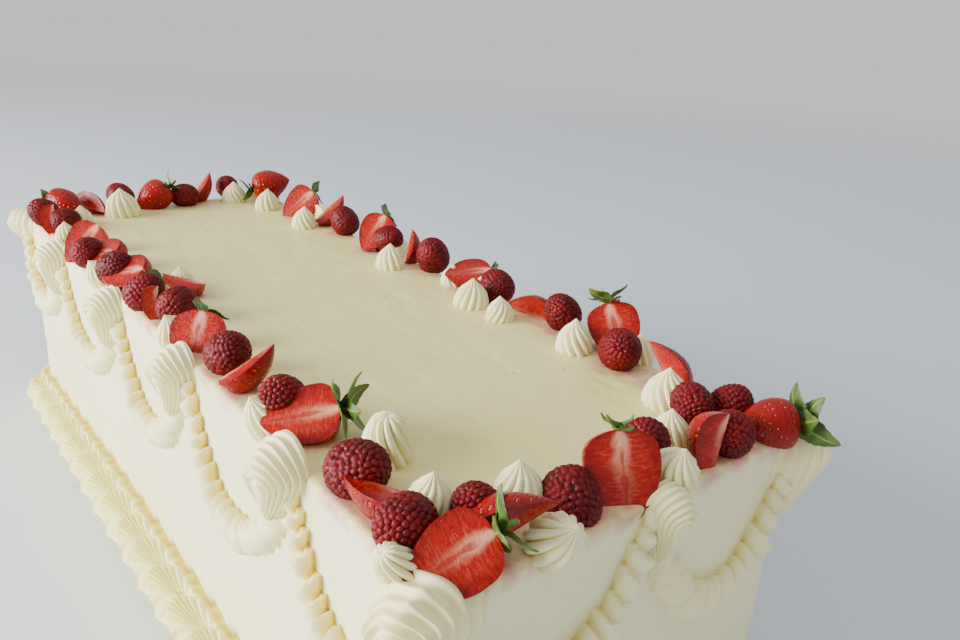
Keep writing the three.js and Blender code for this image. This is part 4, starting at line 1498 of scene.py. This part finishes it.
@dataclass
class Strawberry:
    """A cut strawberry with its tip along +X and its cut face looking along +Z, before it is turned."""

    length: float = 36.0
    width: float = 29.0
    slice: float = 8.0
    widest: float = 0.64
    point_power: float = 0.74
    shoulder_power: float = 3.2
    whole_steps: int = 72
    face_steps: int = 14
    rings: int = 38
    seeds_round: float = 22.0
    seed_rows: float = 11.0
    cap: float = 0.45
    leaf_length: float = 15.0
    leaf_width: float = 10.0
    leaf_thick: float = 0.7
    leaf_grid: tuple = (16, 18)
    leaf_spread: tuple = (50, 85)
    teeth: int = 6
    stalk_radius: float = 1.1
    stalk_grid: tuple = (10, 12)

    def section(self, cut: Cut) -> tuple[Array, Array, Array]:
        """The outline of the cut fruit's section at a radius of 1, walked round once.

        It is a circle for a slice, and otherwise an arc closed by the lines of the cut: the half's
        diameter, or the quarter's two radii.

        Args:
            cut: How it was cut.

        Returns:
            The outline's points, the slot of the faces after each point, and its distance from the axis.
        """
        if cut is Cut.SLICE:
            angle = np.linspace(0, 2 * np.pi, self.whole_steps, endpoint=False)
            points = np.stack([np.cos(angle), np.sin(angle)], -1)
            flat = np.abs(np.sin(angle + np.pi / self.whole_steps)) > 0.35
            return points, flat.astype(int), np.abs(points[:, 0])
        if cut is Cut.HALF:
            steps = self.whole_steps // 2
            angle = np.linspace(np.pi, 2 * np.pi, steps + 1)
            chord = np.linspace(1, -1, 2 * self.face_steps + 1)[1:-1]
            lines = [np.stack([chord, np.zeros(len(chord))], -1)]
        else:
            steps = self.whole_steps // 3
            angle = np.linspace(0.75 * np.pi, 1.25 * np.pi, steps + 1)
            ends = np.stack([np.cos(angle), np.sin(angle)], -1)[[-1, 0]]
            shares = np.linspace(0, 1, self.face_steps + 1)[:, None]
            lines = [ends[0] * np.linspace(1, 0, self.face_steps + 1)[1:, None], ends[1] * shares[1:-1]]
        points = np.concatenate([np.stack([np.cos(angle), np.sin(angle)], -1), *lines])
        return points, (np.arange(len(points)) >= steps).astype(int), np.hypot(*points.T)

    def radius(self, share: Array) -> Array:
        """The radius as a share of the width, from tip to cap.

        A power of a sine swells from the blunt point to the widest place, and a superellipse shoulders
        in from there to the cap.

        Args:
            share: The way from the tip, from 0 to 1.

        Returns:
            The radius at each place.
        """
        rise = np.minimum(1.0, np.maximum(share, 0) / self.widest)
        past = np.maximum(0, (share - self.widest) / (1 - self.widest))
        point = 0.5 * np.sin(np.pi / 2 * rise) ** self.point_power
        return point * np.sqrt(np.maximum(0, 1 - past**self.shoulder_power))

    def flesh(self, row: StrawberryAt, seed: int) -> Surface:
        """The fruit itself: the section carried from tip to cap, its size set by the radius there.

        Args:
            row: How it was cut, and its size.
            seed: Picks its lumps.

        Returns:
            The fruit's surface.
        """
        unit, slots, away = self.section(row.cut)
        turns = len(unit)
        length, width = self.length * row.size, self.width * row.size * row.wide
        lumps = np.random.default_rng(seed).uniform(0, 2 * np.pi, 4)

        def place(u: Array, v: Array) -> tuple[Array, Layers]:
            """The point at step u of the section and share v from the tip."""
            pick = np.round(u * turns).astype(int) % turns
            share = (1 - np.cos(np.pi * v)) / 2
            radius = self.radius(share) * width
            y, z = unit[pick, 0] * radius, unit[pick, 1] * radius
            skin = slots[pick] == 0
            lump = 1 + 0.025 * np.sin(3 * np.arctan2(z, y) + lumps[0] + 4 * share)
            lump = lump + 0.02 * np.sin(7 * share + lumps[1])
            if row.cut is Cut.SLICE:
                z = np.clip(z, -self.slice / 2, self.slice / 2)
            else:
                y, z = np.where(skin, y * lump, y), np.where(skin, z * lump, z)
            x = (0.5 - 0.97 * share) * length
            spot = np.stack([x / length, y / width, z / width], -1)
            around = np.arctan2(unit[pick, 1], unit[pick, 0]) / (2 * np.pi)
            crowd = np.clip(radius / (0.42 * width), 0.25, 1)
            seeds = np.stack([around * self.seeds_round * crowd, share * self.seed_rows, 0 * share], -1)
            return np.stack([x, y, z], -1), {"fruit": spot, "skin": seeds, "away": away[pick] + 0 * share}

        return Surface.closed(place, turns, self.rings, lambda k: slots[k % turns])

    def green(self, place: Place, grid: tuple, turn: float, size: float) -> Surface:
        """A green part of the fruit, in the leaf's slot, turned about the fruit's axis on its cap.

        Args:
            place: Gives its points, and its "skin" layer for the leaf's finish.
            grid: Its turns and rings.
            turn: Its turn, in degrees.
            size: The fruit's size.

        Returns:
            The part's surface.
        """
        part = Surface.closed(place, *grid)
        zero = np.zeros(len(part.points))
        part.layers |= {"fruit": np.stack([zero - 0.5, zero, zero], -1), "away": zero}
        part.slots = part.slots + 2
        a = np.radians(turn)
        about = np.array([[1, 0, 0], [0, np.cos(a), -np.sin(a)], [0, np.sin(a), np.cos(a)]])
        return part.moved(about, np.array([-self.cap * self.length * size, 0.0, 0.0]))

    def stalk(self, long: float, size: float) -> Surface:
        """A stub of stem on the cap: a thin, slightly bent rod with rounded ends.

        Args:
            long: Its length.
            size: The fruit's size.

        Returns:
            The stalk's surface.
        """

        def place(u: Array, v: Array) -> tuple[Array, Layers]:
            """The point at turn u round the rod and share v along it."""
            thick = self.stalk_radius * np.sqrt(np.clip(4 * v * (1 - v) * 5, 0, 1))
            points = np.stack([-long * v, thick * np.cos(2 * np.pi * u) + 0.12 * long * v**2,
                               thick * np.sin(2 * np.pi * u)], -1)
            return points, {"skin": np.stack([0.3 + 0 * v, 0.09 + 0 * v, 0 * v], -1)}

        return self.green(place, self.stalk_grid, 0.0, size)

    def leaf(self, turn: float, spread: float, size: float, fruit: float, seed: int) -> Surface:
        """A leaf of the calyx: a pointed blade with a fold along its middle and a curl at its tip.

        Args:
            turn: Its turn about the fruit's axis, in degrees.
            spread: How far it opens from the axis, in degrees.
            size: The leaf's size.
            fruit: The fruit's size.
            seed: Picks its curl and width.

        Returns:
            The leaf's surface.
        """
        draw = np.random.default_rng(seed)
        curl, wide, long = draw.uniform(-2.6, 2.6), draw.uniform(0.85, 1.15), draw.uniform(0.9, 1.12)
        opened = np.radians(spread)

        def place(u: Array, v: Array) -> tuple[Array, Layers]:
            """The point at turn u round the blade's edge and share v along it."""
            across, over = np.cos(2 * np.pi * u), np.sin(2 * np.pi * u)
            half = 0.5 * self.leaf_width * wide * size * (0.25 + 0.95 * np.sin(np.pi * v**0.8))
            half = half * (1 - 0.5 * v) * (1 + 0.06 * np.sin(2 * np.pi * self.teeth * v))
            half = half * np.sqrt(np.clip(4 * v * (1 - v) * 4, 0, 1))
            fold = 0.9 * np.abs(across) * half / self.leaf_width * 2
            bend = curl * v**2 + 1.2 * np.sin(2 * np.pi * v) * 0.6
            lift = over * self.leaf_thick / 2 * np.sqrt(np.clip(v * (1 - v) * 16, 0, 1)) + bend + fold
            reach = self.leaf_length * long * size * v
            points = np.stack([-reach * np.cos(opened) - lift * np.sin(opened), half * across,
                               reach * np.sin(opened) - lift * np.cos(opened)], -1)
            return points, {"skin": np.stack([v, across, 0 * v], -1)}

        return self.green(place, self.leaf_grid, turn, fruit)

    def build(self, row: StrawberryAt, seed: int) -> Surface:
        """One cut strawberry with its leaves, turned and set down on the cake.

        Args:
            row: Where it lies.
            seed: Picks its small differences.

        Returns:
            The fruit's surface.
        """
        parts = [self.flesh(row, seed)]
        around = 360 if row.leaves > 4 else 180
        for k in range(row.leaves):
            turn = around * (k + 0.5) / row.leaves + 90
            size = row.size * row.leafy
            parts.append(self.leaf(turn, self.leaf_spread[k % 2], size, row.size, 10 * seed + k))
        if row.stem > 0:
            parts.append(self.stalk(row.stem, row.size))
        face, up = heading(row.faces, row.raised), heading(row.faces, row.raised + 90)
        spin = math.radians(row.turned)
        tip = up * math.cos(spin) + np.cross(up, face) * math.sin(spin)
        return Surface.joined(parts).set_down(np.stack([tip, np.cross(face, tip), face], 1), row)


@dataclass(frozen=True)
class Lamp:
    """A soft rectangular light: its place and size in metres, its power in watts, and its tint."""

    name: str
    where: tuple
    size: tuple
    power: float
    tint: tuple
    look: tuple = (0.0, 0.0, 0.1)

    def hang(self) -> None:
        """Adds the light to the scene, facing the point that it looks at."""
        data = bpy.data.lights.new(self.name, "AREA")
        data.shape, data.size, data.size_y = "RECTANGLE", *self.size
        data.energy, data.color = self.power, self.tint
        lamp = bpy.data.objects.new(self.name, data)
        lamp.location = self.where
        lamp.rotation_euler = (Vector(self.look) - Vector(self.where)).to_track_quat("-Z", "Y").to_euler()
        bpy.context.scene.collection.objects.link(lamp)


@dataclass
class Studio:
    """The pale floor, the soft lights, the room's light and the camera."""

    place: tuple = (0.41934, -0.21565, 0.30858)
    turn: tuple = (69.691, -3.503, 50.915)
    lens: float = 29.638
    sensor: float = 36.0
    clip: tuple = (0.01, 60.0)
    floor: float = 30.0
    room_tint: tuple = (0.98, 0.99, 1.0, 1.0)
    room_strength: float = 0.78
    lamps: tuple = (
        Lamp("window", (-0.75, -2.05, 0.72), (1.7, 1.3), 165.0, (1.0, 0.985, 0.965)),
        Lamp("ceiling", (0.2, 0.3, 2.6), (2.4, 2.4), 8.0, (0.97, 0.99, 1.0)),
    )

    def lay_floor(self) -> None:
        """Lays the wide, flat floor at the height 0."""
        mesh = bpy.data.meshes.new("floor")
        mesh.from_pydata([(x * self.floor, y * self.floor, 0) for x, y in CORNERS], [], [(0, 1, 2, 3)])
        floor = bpy.data.objects.new("floor", mesh)
        mesh.materials.append(Floor().material())
        bpy.context.scene.collection.objects.link(floor)

    def light_room(self) -> None:
        """Hangs the lights and gives the room its own soft light."""
        for lamp in self.lamps:
            lamp.hang()
        world = bpy.data.worlds.new("soft_room")
        bpy.context.scene.world = world
        world.use_nodes = True
        background = world.node_tree.nodes["Background"]
        background.inputs["Color"].default_value = self.room_tint
        background.inputs["Strength"].default_value = self.room_strength

    def set_camera(self) -> None:
        """Sets the camera at the photograph's viewpoint."""
        data = bpy.data.cameras.new("camera")
        data.lens, data.sensor_width = self.lens, self.sensor
        data.clip_start, data.clip_end = self.clip
        camera = bpy.data.objects.new("camera", data)
        camera.location = self.place
        camera.rotation_euler = Euler([math.radians(a) for a in self.turn], "XYZ")
        bpy.context.scene.collection.objects.link(camera)
        bpy.context.scene.camera = camera

    def build(self) -> None:
        """Lays the floor, lights the room and sets the camera."""
        self.lay_floor()
        self.light_room()
        self.set_camera()


def main() -> None:
    """Builds the cake's pieces in order over the frame."""
    logging.basicConfig(level=logging.INFO, format="%(name)s %(message)s")
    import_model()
    Studio().build()
    cream, coat = Cream(), Coat()
    rests = [BODY.on_side(row.side, row.along, -row.inset, 0.0)[:2] for row in RASPBERRIES + STRAWBERRIES]
    CakeCoat().build(np.array(rests)).make("cake_coat", [coat], "cake")
    stars = [PipedStar().build(row, SEED + k) for k, row in enumerate(STARS)]
    Surface.joined(stars).make("piped_stars", [cream], "cake")
    # painted shade: a darker, yellower copy of the piped cream for the border at the cake's shaded foot
    foot_shade_cream = Cream(name="foot_cream_painted_shade", pale=(0.82, 0.78, 0.31), warm=(0.83, 0.78, 0.26))
    Border().build().make("foot_border", [foot_shade_cream], "border")
    for piping in PIPING:
        side = piping.side.name.lower()
        piping.build().make(f"piped_{side}", [cream], f"piping_{side}")
    for k, row in enumerate(RASPBERRIES, 1):
        Raspberry().build(row, SEED + k).make(f"berry_{k:02d}", [RaspberryFlesh()], f"raspberry_{k:02d}")
    finishes = [StrawberrySkin(), StrawberryCut(), Leaf()]
    for k, row in enumerate(STRAWBERRIES, 1):
        Strawberry().build(row, SEED + k).make(f"cut_fruit_{k:02d}", finishes, f"strawberry_{k:02d}", 40.0)


if __name__ == "__main__":
    main()
